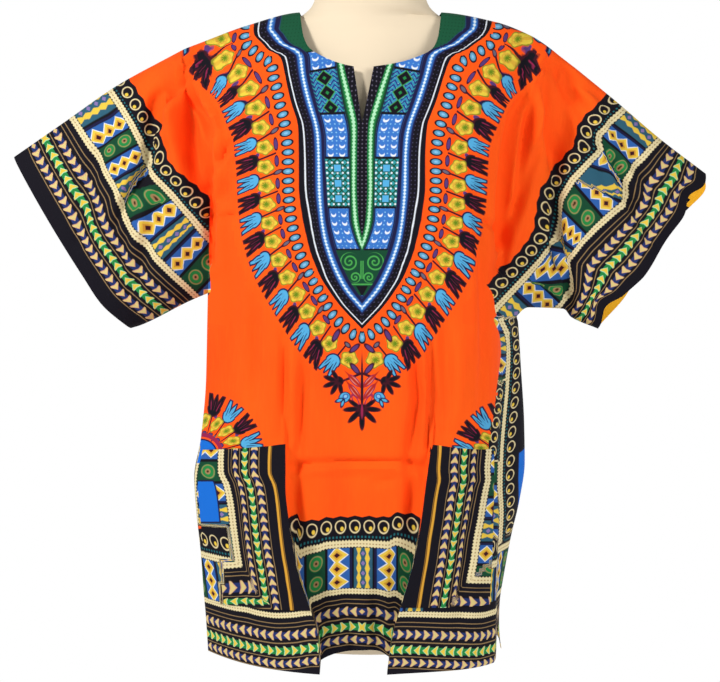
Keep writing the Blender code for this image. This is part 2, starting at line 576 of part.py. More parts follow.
def in_pocket(tag, side):
    """Whether a front triangle lies under that side's pocket."""
    if tag[0] != (FRONT, side, "lower", "body"):
        return False
    first_row, last_row = POCKET_ROWS
    first_column, last_column = POCKET_COLUMNS
    return first_row <= tag[1] < last_row and first_column <= tag[2] < last_column


def main():
    """Build every piece."""
    for thing in list(bpy.data.objects):
        bpy.data.objects.remove(thing, do_unlink=True)
    materials = make_materials()
    cloth = draw_cloth()
    points = np.array(cloth.points)
    normals = cloth.normals()
    pieces = np.array(cloth.pieces)
    by_piece = {name: [cloth.triangles[k] for k in np.flatnonzero(pieces == name)]
                for name in ("front", "back")}
    used = {name: {index for triangle in rows for index in triangle} for name, rows in by_piece.items()}
    shared = used["front"] & used["back"]
    for name in ("front", "back"):
        moves = seam_shift(points, by_piece[name], shared, normals)
        make_solid(name, points, normals, by_piece[name], materials["cloth_" + name], moves=moves)
    for side, name in ((LEFT, "pocket_left"), (RIGHT, "pocket_right")):
        patch = [triangle for triangle, tag in zip(cloth.triangles, cloth.tags) if in_pocket(tag, side)]
        make_solid(name, points, normals, patch, materials["cloth_pocket"], lift=WALL + POCKET_LIFT)
    make_form(materials["form_ivory"])


main()
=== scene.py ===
"""Dashiki shirt on a limbless dress form: fine cloth, print, lights and camera.

Metres, +Z up, the shirt's front faces -Y, as in the frame. The cloth follows the same tables and
functions as the frame's solids, on a finer grid, with creases added. The print is worked out per
point in "steps" of 1.2 mm, counted across from the shirt's centre and down from the shoulders, kept
in UV maps and drawn by shader nodes.
"""
import math

import bpy
import numpy as np
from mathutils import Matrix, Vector
from mathutils.kdtree import KDTree


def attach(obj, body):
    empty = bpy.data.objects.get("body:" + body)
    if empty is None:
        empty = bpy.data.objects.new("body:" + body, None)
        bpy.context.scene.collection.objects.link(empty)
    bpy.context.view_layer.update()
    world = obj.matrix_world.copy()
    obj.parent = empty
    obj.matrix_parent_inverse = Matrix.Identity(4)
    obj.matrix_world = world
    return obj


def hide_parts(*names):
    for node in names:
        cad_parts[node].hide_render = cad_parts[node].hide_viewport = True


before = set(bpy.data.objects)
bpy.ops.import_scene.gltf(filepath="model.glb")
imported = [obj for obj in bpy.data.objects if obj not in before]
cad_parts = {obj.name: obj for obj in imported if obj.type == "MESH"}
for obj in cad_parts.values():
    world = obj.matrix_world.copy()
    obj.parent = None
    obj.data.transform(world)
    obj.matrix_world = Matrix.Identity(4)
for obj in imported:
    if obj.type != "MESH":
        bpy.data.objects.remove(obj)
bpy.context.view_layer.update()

# ---- driving sizes ----
NOTCH_DEPTH = 0.068          # V notch below the round front neckline
ARMPIT_Z = 0.445             # body's centre at the armpit row
BACK_NECK_Z = 0.786          # centre of the back neckline
HEM_CENTRE_Z = 0.031         # recessed middle of the front hem
HEM_CENTRE_TILT = 0.004      # its rise towards +X
HEM_PANEL_Z = 0.010          # front hem beside the pleats
BACK_HEM_Z = 0.012
SIDE_HEM_Z = {-1: 0.016, 1: 0.012}
POCKET_TOP_Z = 0.2836        # at the pocket's inner edge
POCKET_TOP_FALL = 0.012      # its drop out to the side seam
POCKET_BOTTOM_Z = 0.091
POCKET_BOTTOM_FALL = 0.006
VENT_TOP_Z = 0.060
VENT_SPREAD = 0.010          # how far each vent edge leaves the seam line at the hem
BACK_VENT_FLARE = 0.011
PLEAT_START = 0.97           # the pleat's fold runs from this column to column 1
PLEAT_RECESS = 0.020         # the middle's set-back at the hem
PLEAT_STAND = 0.017          # the pocket panels' stand-out at the hem
PLEAT_ZONE = (0.36, 0.06)    # heights between which the pleat deepens
ARMPIT_DIP = 0.006           # the body's edge line passes this far below the armhole's end
TROUGH_DROP = 0.05           # troughs have their full depth this far below the crest
TURN_LEAVE, TURN_ARRIVE = 0.42, 0.36    # roundness of the turn from the edge line to the side
TURN_START = 1.9             # body column that gives the direction before the edge line
TURN_OUT = 0.06              # share of the sleeve that gives the direction after the valley
TURN_BACK = 0.9              # how far the turn leaves the edge line straight backwards
TURN_ON = 0.65               # and how much it then leaves out of the body's own direction
LENS_POWER = 2.4             # roundness of a sleeve's flattened section
TINY = 1e-6
LEFT, RIGHT = -1, 1
FRONT, BACK = -1, 1


class Table:
    """Rows of named columns, read by a smooth monotone curve along the first column."""

    def __init__(self, names, *rows):
        data = np.array(sorted(rows), dtype=float)
        self.names = names.split()
        self.key = data[:, 0]
        self.columns = {name: data[:, i] for i, name in enumerate(self.names)}

    def at(self, name, key):
        """Value of one column at the given keys, held level beyond the ends."""
        x, y = self.key, self.columns[name]
        key = np.clip(np.asarray(key, dtype=float), x[0], x[-1])
        step = np.diff(x)
        slope = np.diff(y) / step
        tangent = np.zeros_like(y)
        tangent[0], tangent[-1] = slope[0], slope[-1]
        same_way = slope[:-1] * slope[1:] > 0
        harmonic = 2 * slope[:-1] * slope[1:] / np.where(same_way, slope[:-1] + slope[1:], 1.0)
        tangent[1:-1] = np.where(same_way, harmonic, 0.0)
        i = np.clip(np.searchsorted(x, key, side="right") - 1, 0, len(x) - 2)
        u = (key - x[i]) / step[i]
        rise = step[i] * (u * (1 - u) ** 2 * tangent[i] - u ** 2 * (1 - u) * tangent[i + 1])
        return y[i] + (y[i + 1] - y[i]) * u ** 2 * (3 - 2 * u) + rise


# ---- tables of the cloth, each half's x counted outwards from the centre ----
# round front neckline from its middle (column 0) to the neck side (column 1), and the crest
NECKLINE = {
    LEFT: Table(
        "column x z", (0.0, 0.0, 0.733), (0.22, 0.0255, 0.7368), (0.45, 0.0455, 0.7447),
        (0.68, 0.0635, 0.7562), (0.84, 0.0705, 0.77), (0.93, 0.0735, 0.7855), (0.97, 0.0752, 0.797),
        (1.0, 0.077, 0.8035)),
    RIGHT: Table(
        "column x z", (0.0, 0.0, 0.733), (0.22, 0.036, 0.7365), (0.45, 0.063, 0.7437),
        (0.68, 0.085, 0.7555), (0.84, 0.0918, 0.77), (0.93, 0.0945, 0.7855), (0.97, 0.0962, 0.797),
        (1.0, 0.098, 0.8035)),
}
NECK_BLEND = 0.35            # rows over which the neckline's columns join the straight ones
NOTCH_HALF_WIDTH = {LEFT: 0.010, RIGHT: 0.014}
CREST = {
    LEFT: Table("x z", (0.0, 0.806), (0.077, 0.8035), (0.14, 0.788), (0.195, 0.768), (0.222, 0.757)),
    RIGHT: Table("x z", (0.0, 0.806), (0.098, 0.8035), (0.164, 0.792), (0.2, 0.779), (0.23, 0.761)),
}
# neck_or_pleat: column through the neck side, down the pocket's inner edge to the hem pleat
# edge: line where the front turns back to the body's side
FRONT_LINES = {
    LEFT: Table(
        "z neck_or_pleat edge", (0.0, 0.05, 0.19), (0.06, 0.0531, 0.1925), (0.091, 0.0628, 0.1945),
        (0.14, 0.078, 0.197), (0.19, 0.0865, 0.201), (0.235, 0.0912, 0.203), (0.284, 0.0912, 0.194),
        (0.36, 0.09, 0.1865), (0.46, 0.087, 0.184), (0.56, 0.084, 0.183), (0.65, 0.081, 0.184),
        (0.71, 0.079, 0.2), (0.768, 0.077, 0.195), (0.8035, 0.077, 0.195)),
    RIGHT: Table(
        "z neck_or_pleat edge", (0.0, 0.0285, 0.16), (0.06, 0.037, 0.1625), (0.091, 0.046, 0.1625),
        (0.14, 0.0604, 0.164), (0.19, 0.07, 0.165), (0.235, 0.0758, 0.1655), (0.284, 0.0818, 0.165),
        (0.36, 0.085, 0.166), (0.434, 0.088, 0.167), (0.532, 0.092, 0.1685), (0.622, 0.095, 0.172),
        (0.694, 0.097, 0.186), (0.778, 0.098, 0.2), (0.8035, 0.098, 0.2)),
}
BACK_LINES = {
    LEFT: Table(
        "z neck_or_pleat edge", (0.0, 0.08, 0.168), (0.284, 0.085, 0.168), (0.46, 0.085, 0.17),
        (0.65, 0.08, 0.182), (0.768, 0.077, 0.195), (0.8035, 0.077, 0.195)),
    RIGHT: Table(
        "z neck_or_pleat edge", (0.0, 0.08, 0.168), (0.06, 0.08, 0.174), (0.091, 0.08, 0.18),
        (0.14, 0.081, 0.19), (0.19, 0.082, 0.202), (0.235, 0.083, 0.208), (0.284, 0.085, 0.207),
        (0.36, 0.086, 0.202), (0.434, 0.088, 0.197), (0.622, 0.092, 0.188), (0.778, 0.098, 0.2),
        (0.8035, 0.098, 0.2)),
}
# how far the cloth stands out from the crest's plane, by drop below the crest
FRONT_DEPTH = Table(
    "drop centre left right", (0.0, 0.0, 0.0, 0.0), (0.004, 0.022, 0.014, 0.014),
    (0.013, 0.036, 0.024, 0.024), (0.03, 0.053, 0.034, 0.034), (0.07, 0.08, 0.055, 0.052),
    (0.11, 0.097, 0.07, 0.064), (0.16, 0.109, 0.084, 0.072), (0.25, 0.12, 0.094, 0.07),
    (0.35, 0.127, 0.095, 0.062), (0.45, 0.129, 0.09, 0.064), (0.54, 0.13, 0.082, 0.076),
    (0.62, 0.131, 0.07, 0.084), (0.72, 0.132, 0.056, 0.092), (0.8, 0.132, 0.045, 0.098))
BACK_DEPTH = Table(
    "drop centre left right", (0.0, 0.0, 0.0, 0.0), (0.004, 0.024, 0.015, 0.015),
    (0.013, 0.04, 0.026, 0.026), (0.03, 0.058, 0.038, 0.038), (0.07, 0.084, 0.06, 0.06),
    (0.11, 0.1, 0.074, 0.074), (0.16, 0.112, 0.086, 0.084), (0.25, 0.121, 0.095, 0.09),
    (0.4, 0.124, 0.096, 0.088), (0.6, 0.125, 0.092, 0.086), (0.8, 0.126, 0.09, 0.084))
CORNER_POWER = {(FRONT, LEFT): 3.5, (FRONT, RIGHT): 6.0, (BACK, LEFT): 3.5, (BACK, RIGHT): 3.5}
# armhole valley, row 0 to 1: the line that the sleeve comes out of
VALLEY = {
    LEFT: Table(
        "row x y z", (0.0, 0.222, 0.0, 0.757), (0.25, 0.222, 0.0, 0.7), (0.5, 0.203, 0.0, 0.634),
        (0.75, 0.181, 0.002, 0.548), (1.0, 0.163, 0.005, 0.468)),
    RIGHT: Table(
        "row x y z", (0.0, 0.23, 0.0, 0.761), (0.25, 0.206, 0.0, 0.682), (0.5, 0.184, 0.0, 0.604),
        (0.75, 0.176, 0.0, 0.512), (1.0, 0.1888, 0.0, 0.4236)),
}
# side seam below the armpit
SIDE_SEAM = {
    LEFT: Table(
        "z x y", (0.0, 0.16, 0.03), (0.091, 0.165, 0.03), (0.235, 0.17, 0.028), (0.36, 0.16, 0.022),
        (0.468, 0.163, 0.005)),
    RIGHT: Table(
        "z x y", (0.0, 0.166, -0.03), (0.091, 0.167, -0.028), (0.235, 0.169, -0.025),
        (0.36, 0.174, -0.018), (0.424, 0.1888, 0.0)),
}
# sleeve: top edge and underarm seam from the valley (0) to the hem (1), and the hem from crest to underarm
SLEEVE_TOP = {
    LEFT: Table(
        "along x y z", (0.0, 0.222, 0.0, 0.757), (0.36, 0.305, 0.03, 0.716), (0.68, 0.3743, 0.055, 0.672),
        (1.0, 0.444, 0.075, 0.627)),
    RIGHT: Table(
        "along x y z", (0.0, 0.23, 0.0, 0.761), (0.36, 0.3074, 0.03, 0.7045), (0.7, 0.3776, 0.06, 0.65),
        (1.0, 0.441, 0.088, 0.606)),
}
SLEEVE_UNDER = {
    LEFT: Table(
        "along x y z", (0.0, 0.163, 0.005, 0.468), (0.4, 0.2125, 0.005, 0.448),
        (0.9, 0.2795, 0.018, 0.415), (1.0, 0.291, 0.02, 0.4115)),
    RIGHT: Table(
        "along x y z", (0.0, 0.1888, 0.0, 0.4236), (0.2, 0.2075, 0.0, 0.439), (0.6, 0.252, 0.0, 0.4372),
        (0.68, 0.261, 0.0, 0.427), (1.0, 0.295, 0.0, 0.4122)),
}
SLEEVE_HEM = {
    LEFT: Table(
        "row x y z", (0.0, 0.444, 0.075, 0.627), (0.45, 0.3818, 0.045, 0.528),
        (0.68, 0.3486, 0.035, 0.4767), (0.85, 0.3245, 0.025, 0.4418), (1.0, 0.291, 0.02, 0.4115)),
    RIGHT: Table(
        "row x y z", (0.0, 0.441, 0.088, 0.606), (0.06, 0.438, 0.082, 0.592), (0.2, 0.416, 0.066, 0.563),
        (0.4, 0.3815, 0.045, 0.5234), (0.64, 0.3515, 0.025, 0.4787), (0.76, 0.328, 0.015, 0.457),
        (1.0, 0.295, 0.0, 0.4122)),
}
# the back layer of the sleeve mouth reaches further out than the front one at these rows
MOUTH_BACK_REACH = {
    LEFT: Table("row reach", (0.0, 0.0), (0.3, 0.002), (0.7, 0.002), (1.0, 0.0)),
    RIGHT: Table(
        "row reach", (0.0, 0.0), (0.12, 0.01), (0.3, 0.004), (0.6, 0.004), (0.8, 0.012), (1.0, 0.0)),
}
# half of the gap between a sleeve's front and back
SLEEVE_BULGE = {
    FRONT: Table(
        "along left right", (0.0, 0.05, 0.048), (0.3, 0.042, 0.04), (0.7, 0.034, 0.034),
        (1.0, 0.03, 0.032)),
    BACK: Table(
        "along left right", (0.0, 0.06, 0.06), (0.3, 0.048, 0.048), (0.7, 0.038, 0.04),
        (1.0, 0.032, 0.036)),
}
SLEEVE_LENGTH = 0.20
# the long fold that leaves the shoulder point and crosses the sleeve; the sleeve's columns follow it
SLEEVE_FOLD = {
    LEFT: Table(
        "row along depth", (0.0, 0.1, 0.0), (0.12, 0.12, 0.008), (0.25, 0.17, 0.013), (0.45, 0.36, 0.009),
        (0.62, 0.58, 0.006), (0.8, 0.74, 0.005), (1.0, 0.84, 0.0)),
    RIGHT: Table(
        "row along depth", (0.0, 0.12, 0.0), (0.12, 0.15, 0.012), (0.25, 0.2, 0.018), (0.5, 0.27, 0.02),
        (0.7, 0.34, 0.018), (0.85, 0.5, 0.014), (1.0, 0.62, 0.0)),
}
FOLD_SHARE = 0.45            # share of the sleeve's columns inside that fold
FOLD_WIDTH = 0.013

# soft troughs of the front: start and end (x, z), depth and half-width at both ends
FRONT_TROUGHS = (
    # x0, z0, x1, z1, depth0, depth1, width0, width1
    (-0.090, 0.440, -0.094, 0.290, 0.001, 0.006, 0.008, 0.012),
    (-0.155, 0.620, -0.172, 0.690, 0.004, 0.003, 0.008, 0.006),
    (0.100, 0.420, 0.090, 0.290, 0.002, 0.006, 0.010, 0.014),
    (0.140, 0.400, 0.125, 0.300, 0.003, 0.006, 0.010, 0.014),
    (0.258, 0.700, 0.290, 0.640, 0.006, 0.009, 0.009, 0.011),
    (0.290, 0.640, 0.330, 0.560, 0.009, 0.010, 0.011, 0.012),
)
# hanging folds of the back: x, top and bottom height, depth at the hem, half-width
BACK_TROUGHS = (
    # x0, z0, x1, z1, depth0, depth1, width0, width1
    (-0.060, 0.560, -0.050, 0.015, 0.003, 0.012, 0.020, 0.026),
    (-0.130, 0.620, -0.125, 0.015, 0.004, 0.014, 0.014, 0.022),
    (0.035, 0.500, 0.045, 0.015, 0.003, 0.010, 0.020, 0.024),
    (0.125, 0.600, 0.120, 0.015, 0.004, 0.015, 0.014, 0.022),
)

# ---- grid ----
UPPER_ROWS = (0.0, 0.012, 0.04, 0.09, 0.16, 0.24, 0.35, 0.47, 0.60, 0.73, 0.86, 0.96, 1.0)
NOTCH_ROW = 5
NOTCH_COLUMN = 0.22          # the notch's opening is shared out up to this column
LOWER_ROWS = (1.0, 1.07, 1.15, 1.23, 1.30, 1.372, 1.45, 1.53, 1.61, 1.68, 1.75, 1.8176, 1.889, 1.95, 2.0)
POCKET_ROWS = (5, 11)        # first and last lower row of the pockets
INNER_COLUMNS = {FRONT: (0.0, 0.22, 0.45, 0.68, 0.84, 0.93, PLEAT_START), BACK: (0.0, 0.3, 0.6, 0.86)}
OUTER_COLUMNS = {
    LEFT: (1.0, 1.18, 1.36, 1.55, 1.72, 1.84, 2.0),
    RIGHT: (1.0, 1.20, 1.40, 1.60, 1.78, 1.93, 2.0),
}
POCKET_COLUMNS = (7, 12)     # first and last body column of the pockets
CREST_BLEND = 0.25           # rows over which the shoulder's side starts to turn back
ARMPIT_ROWS = (0.80, 1.10)   # rows over which the side turns from the sleeve to the side seam
SIDE_COLUMNS = (0.0, 0.15, 0.35, 0.60, 0.82, 1.0)
SLEEVE_COLUMNS = (0.0, 0.18, 0.36, 0.45, 0.50, 0.62, 0.80, 1.0)

# ---- dress form: oval rings, each with its half-width, the y of its centre and its half-depth ----
FORM_X = 0.0105
FORM_SIDES = 28
FORM_RINGS = Table(
    "z half_width centre_y half_depth", (0.0, 0.094, 0.043, 0.05), (0.006, 0.098, 0.044, 0.053),
    (0.05, 0.112, 0.043, 0.062), (0.12, 0.128, 0.037, 0.072), (0.2, 0.136, 0.028, 0.08),
    (0.3, 0.134, 0.019, 0.086), (0.4, 0.136, 0.014, 0.091), (0.5, 0.146, 0.011, 0.097),
    (0.58, 0.156, 0.009, 0.098), (0.65, 0.164, 0.007, 0.09), (0.7, 0.168, 0.005, 0.074),
    (0.73, 0.168, 0.003, 0.061), (0.75, 0.167, 0.002, 0.052), (0.765, 0.162, 0.001, 0.045),
    (0.776, 0.152, 0.001, 0.04), (0.784, 0.139, 0.001, 0.0365), (0.79, 0.124, 0.001, 0.0345),
    (0.795, 0.1045, 0.001, 0.0335), (0.799, 0.085, 0.001, 0.033), (0.803, 0.08, 0.0015, 0.04),
    (0.81, 0.073, 0.002, 0.046), (0.82, 0.0685, 0.002, 0.048), (0.84, 0.065, 0.002, 0.049),
    (0.86, 0.064, 0.0025, 0.0495))
FORM_STEP = 0.006            # largest step between two rings of the finished form


def unit(vectors):
    """Vectors scaled to length one."""
    return vectors / np.maximum(np.linalg.norm(vectors, axis=-1, keepdims=True), 1e-9)


def ramp(value, start, end):
    """Smooth 0 to 1 between start and end."""
    u = np.clip((value - start) / (end - start), 0.0, 1.0)
    return u * u * (3 - 2 * u)


def lens(row):
    """Section of a flattened sleeve: 0 at its two edges and 1 in the middle."""
    off_middle = np.clip(np.abs(2 * row - 1), 0.0, 1.0)
    return (1 - off_middle ** LENS_POWER) ** (1 / LENS_POWER)


def troughs(table, x, z):
    """Depth of the soft troughs at the given places."""
    depth = np.zeros(np.broadcast(x, z).shape)
    for x0, z0, x1, z1, depth0, depth1, width0, width1 in table:
        length = math.hypot(x1 - x0, z1 - z0)
        along = ((x - x0) * (x1 - x0) + (z - z0) * (z1 - z0)) / length ** 2
        off = ((x - x0) * (z1 - z0) - (z - z0) * (x1 - x0)) / length
        held = np.clip(along, 0.0, 1.0)
        beyond = (along - held) * length
        width = width0 + (width1 - width0) * held
        size = depth0 + (depth1 - depth0) * held
        depth += size * np.exp(-(off ** 2 + beyond ** 2) / width ** 2)
    return depth


def lower_height(row, top, bottom, outer):
    """Height at a lower row: armpit, pocket's top, pocket's bottom and hem, even in between."""
    pocket_top = POCKET_TOP_Z - POCKET_TOP_FALL * outer
    pocket_bottom = POCKET_BOTTOM_Z - POCKET_BOTTOM_FALL * outer
    first, last = (LOWER_ROWS[k] for k in POCKET_ROWS)
    above = top + (pocket_top - top) * (row - 1) / (first - 1)
    beside = pocket_top + (pocket_bottom - pocket_top) * (row - first) / (last - first)
    below = pocket_bottom + (bottom - pocket_bottom) * (row - last) / (2 - last)
    return np.where(row < first, above, np.where(row < last, beside, below))


def body(face, side, row, column):
    """Points of the body part: column 0 is the centre, 1 the neck side or pleat, 2 the edge line."""
    lines = (FRONT_LINES if face == FRONT else BACK_LINES)[side]
    crest = CREST[side]
    neck_x = NECKLINE[side].columns["x"][-1]
    edge_x = CREST[side].key[3]
    outer = np.clip(column - 1, 0, 1)
    top_x = np.where(column <= 1, column * neck_x, neck_x + outer * (edge_x - neck_x))
    if face == FRONT:
        neck_z = NECKLINE[side].at("z", column)
    else:
        round_neck = np.sqrt(np.clip(1 - (top_x / neck_x) ** 2, 0, 1))
        neck_z = crest.at("z", neck_x) + (BACK_NECK_Z - crest.at("z", neck_x)) * round_neck
    top_z = np.where(column < 1, neck_z, crest.at("z", top_x))
    armpit_z = ARMPIT_Z + (VALLEY[side].at("z", 1.0) - ARMPIT_DIP - ARMPIT_Z) * (column / 2) ** 2
    if face == FRONT:
        outside = ramp(column, PLEAT_START, 1.0)
        middle_z = HEM_CENTRE_Z + HEM_CENTRE_TILT * side * np.clip(column, 0, 1)
        panel_z = HEM_PANEL_Z + (SIDE_HEM_Z[side] - HEM_PANEL_Z) * outer ** 2
        hem_z = middle_z + (panel_z - middle_z) * outside
    else:
        outside = np.zeros_like(column)
        hem_z = BACK_HEM_Z + (SIDE_HEM_Z[side] - BACK_HEM_Z) * outer ** 2
    upper_z = top_z + (armpit_z - top_z) * np.clip(row, 0, 1)
    z = np.where(row <= 1, upper_z, lower_height(row, armpit_z, hem_z, outer))
    pleat_x, line_x = lines.at("neck_or_pleat", z), lines.at("edge", z)
    x = np.where(column <= 1, column * pleat_x, pleat_x + outer * (line_x - pleat_x))
    if face == FRONT:
        near_neck = (column < 1) * (1 - ramp(row, 0.0, NECK_BLEND))
        x = x + (NECKLINE[side].at("x", column) - x) * near_neck
        opening = NOTCH_HALF_WIDTH[side] * np.clip(1 - (top_z - z) / NOTCH_DEPTH, 0, 1)
        opening = opening * np.clip(1 - column / NOTCH_COLUMN, 0, 1)
        x = np.where(row < UPPER_ROWS[NOTCH_ROW] - TINY, x + opening, x)
    depths = FRONT_DEPTH if face == FRONT else BACK_DEPTH
    drop = np.clip(crest.at("z", x) - z, 0, None)
    at_centre = depths.at("centre", drop)
    at_edge = depths.at("left" if side == LEFT else "right", drop)
    share = np.clip(x / line_x, 0, 1) ** CORNER_POWER[face, side]
    depth = at_centre + (at_edge - at_centre) * share
    if face == FRONT:
        fade = ramp(z, *PLEAT_ZONE)
        depth = depth - PLEAT_RECESS * fade * (1 - outside)
        depth = depth + PLEAT_STAND * fade * outside * (1 - outer) ** 2
    table = FRONT_TROUGHS if face == FRONT else BACK_TROUGHS
    depth = depth - troughs(table, side * x, z) * ramp(drop, 0.0, TROUGH_DROP)
    return np.stack([side * x, face * depth, z], axis=-1)


def sleeve(face, side, row, along):
    """Points of the sleeve part: along is 0 at the armhole valley and 1 at the hem."""
    top, under, hem, valley = SLEEVE_TOP[side], SLEEVE_UNDER[side], SLEEVE_HEM[side], VALLEY[side]
    point = []
    for axis in "xyz":
        rows_part = (1 - along) * valley.at(axis, row) + along * hem.at(axis, row)
        edge_part = (1 - row) * top.at(axis, along) + row * under.at(axis, along)
        corners = ((1 - row) * ((1 - along) * top.at(axis, 0) + along * top.at(axis, 1))
                   + row * ((1 - along) * under.at(axis, 0) + along * under.at(axis, 1)))
        point.append(rows_part + edge_part - corners)
    x, y, z = point
    if face == BACK:
        x = x + MOUTH_BACK_REACH[side].at("reach", row) * along ** 3
    bulge = SLEEVE_BULGE[face].at("left" if side == LEFT else "right", along) * lens(row)
    fold = SLEEVE_FOLD[side]
    off = (along - fold.at("along", row)) * SLEEVE_LENGTH / FOLD_WIDTH
    bulge = bulge - fold.at("depth", row) * np.exp(-off ** 2) * (1.0 if face == FRONT else 0.5)
    if face == FRONT:
        bulge = bulge - troughs(FRONT_TROUGHS, side * x, z) * lens(row)
    return np.stack([side * x, y + face * bulge, z], axis=-1)


def sleeve_place(side, row, column):
    """Share of the sleeve's length at a sleeve column, so that the columns follow the long fold."""
    fold = SLEEVE_FOLD[side].at("along", row)
    inner = column / FOLD_SHARE * fold
    outer = fold + (column - FOLD_SHARE) / (1 - FOLD_SHARE) * (1 - fold)
    return np.where(column <= FOLD_SHARE, inner, outer)


def side_part(face, side, row, column):
    """Points between the edge line (column 0) and the armhole valley or side seam (column 1)."""
    start = body(face, side, row, np.full_like(row, 2.0))
    before = body(face, side, row, np.full_like(row, TURN_START))
    upper = np.clip(row, 0, 1)
    valley = sleeve(face, side, upper, np.zeros_like(row))
    outwards = sleeve(face, side, upper, np.full_like(row, TURN_OUT)) - valley
    seam_z = lower_height(np.clip(row, 1, 2), VALLEY[side].at("z", 1.0), SIDE_HEM_Z[side], 1.0)
    vent = np.clip((VENT_TOP_Z - seam_z) / VENT_TOP_Z, 0, 1)
    flare = BACK_VENT_FLARE * vent * (1 if face == BACK else 0)
    seam_x = SIDE_SEAM[side].at("x", seam_z) + flare
    seam_y = SIDE_SEAM[side].at("y", seam_z) + face * VENT_SPREAD * vent
    seam = np.stack([side * seam_x, seam_y, seam_z], axis=-1)
    below = ramp(row, *ARMPIT_ROWS)[..., None]
    end = np.where((row <= 1)[..., None], valley, seam)
    turn = ramp(row, 0.0, CREST_BLEND)[..., None]
    leave = unit(start - before) * (1 - TURN_ON * turn) + np.array([0.0, -face * TURN_BACK, 0.0]) * turn
    arrive = unit(unit(outwards) * (1 - below) + np.array([0.0, -face, 0.0]) * below)
    reach = np.linalg.norm(end - start, axis=-1, keepdims=True)
    first = start + unit(leave) * reach * TURN_LEAVE
    second = end - arrive * reach * TURN_ARRIVE
    u = column[..., None]
    return ((1 - u) ** 3 * start + 3 * u * (1 - u) ** 2 * first
            + 3 * u * u * (1 - u) * second + u ** 3 * end)


def grid(function, face, side, rows, columns):
    """Points of one part on its rows and columns."""
    row, column = np.meshgrid(np.array(rows), np.array(columns), indexing="ij")
    return function(face, side, row, column)


def sleeve_part(face, side, row, column):
    """Sleeve points on columns that follow the long fold."""
    return sleeve(face, side, row, sleeve_place(side, row, column))


# ---- the fine grid ----
SHELL = 0.0008               # cloth thickness
CLOTH_SHARP = 55.0           # edges that turn more than this, in degrees, stay sharp
FORM_SHARP = 50.0
ROW_STEP = 0.0125            # largest row step from crest to armpit
LOWER_STEP = 0.0100          # largest row step below the armpit
BODY_STEP = 0.040
SIDE_STEP = 0.050
SLEEVE_STEP = 0.018
NEAR_CREST = (0.0, 0.002, 0.005, 0.009, 0.014, 0.020, 0.028)
PLEAT_COLUMNS = (0.975, 0.98, 0.985, 0.99, 0.995)


def finer(values, step):
    """The values with even ones added, so that none is further than step from the next."""
    found = [values[0]]
    for low, high in zip(values[:-1], values[1:]):
        count = max(1, math.ceil((high - low) / step - TINY))
        found += [low + (high - low) * k / count for k in range(1, count + 1)]
    return np.array(found)


FINE_ROWS = {"upper": finer(NEAR_CREST + UPPER_ROWS[2:], ROW_STEP), "lower": finer(LOWER_ROWS, LOWER_STEP)}


def body_columns(face, side):
    """Fine columns of the body part, with the pleat's own ones at the front."""
    columns = finer(INNER_COLUMNS[face] + OUTER_COLUMNS[side], BODY_STEP)
    return np.unique(np.round(np.concatenate([columns, PLEAT_COLUMNS]), 6)) if face == FRONT else columns


def cells_of(number):
    """The four corner numbers of every cell of a numbered grid."""
    corners = (number[:-1, :-1], number[1:, :-1], number[1:, 1:], number[:-1, 1:])
    return np.stack(corners, axis=-1).reshape(-1, 4)


def running_length(points, axis):
    """Length along the rows or columns of a grid of points, from 0 at its start."""
    steps = np.linalg.norm(np.diff(points, axis=axis), axis=2)
    return np.insert(np.cumsum(steps, axis=axis), 0, 0.0, axis=axis)


ABOVE_ARMPIT = 2.0           # height above the hem, in metres, that stands for "not below the armpit"
KEY_SCALE = 1e6              # points closer than a thousandth of a millimetre are one


def keys_of(points):
    """Whole numbers that are the same for the same point."""
    return np.round(points.reshape(-1, 3) * KEY_SCALE).astype(np.int64)


class Sheet:
    """The fine surface of one face (front or back), both halves joined.

    across is the arc from the centre line and rise the arc up from the hem, both per point.
    """

    def __init__(self, face):
        self.face = face
        points, across, rise, rows_of, quads = [], [], [], [], []
        offset = 0
        for side in (LEFT, RIGHT):
            for level in ("upper", "lower"):
                rows = FINE_ROWS[level]
                parts = [grid(body, face, side, rows, body_columns(face, side)),
                         grid(side_part, face, side, rows, finer(SIDE_COLUMNS, SIDE_STEP))[:, 1:]]
                if level == "upper":
                    sleeve_columns = finer(SLEEVE_COLUMNS, SLEEVE_STEP)
                    parts.append(grid(sleeve_part, face, side, rows, sleeve_columns)[:, 1:])
                found = np.concatenate(parts, axis=1)
                shape = found.shape[:2]
                below = level == "lower"
                height = running_length(found[::-1], 0)[::-1] if below else np.full(shape, ABOVE_ARMPIT)
                cell = cells_of(offset + np.arange(shape[0] * shape[1]).reshape(shape))
                quads.append(cell[:, ::-1] if face * side > 0 else cell)
                points.append(found.reshape(-1, 3))
                across.append(running_length(found, 1).ravel() * side)
                rise.append(height.ravel())
                rows_of.append(np.repeat(rows, shape[1]))
                offset += shape[0] * shape[1]
        points, rise = np.concatenate(points), np.concatenate(rise)
        keys, first, number = np.unique(keys_of(points), axis=0, return_index=True, return_inverse=True)
        number = number.ravel()
        lowest = np.full(len(keys), np.inf)
        np.minimum.at(lowest, number, rise)
        self.keys, self.points, self.rise = keys, points[first], lowest
        self.across, self.row = np.concatenate(across)[first], np.concatenate(rows_of)[first]
        quads = number[np.concatenate(quads)]
        self.faces = []
        for quad in quads.tolist():
            corners = [corner for k, corner in enumerate(quad) if corner != quad[k - 1]]
            if len(set(corners)) >= 3:
                self.faces.append(corners)
        self.quads = np.array([(face + face[-1:])[:4] for face in self.faces])


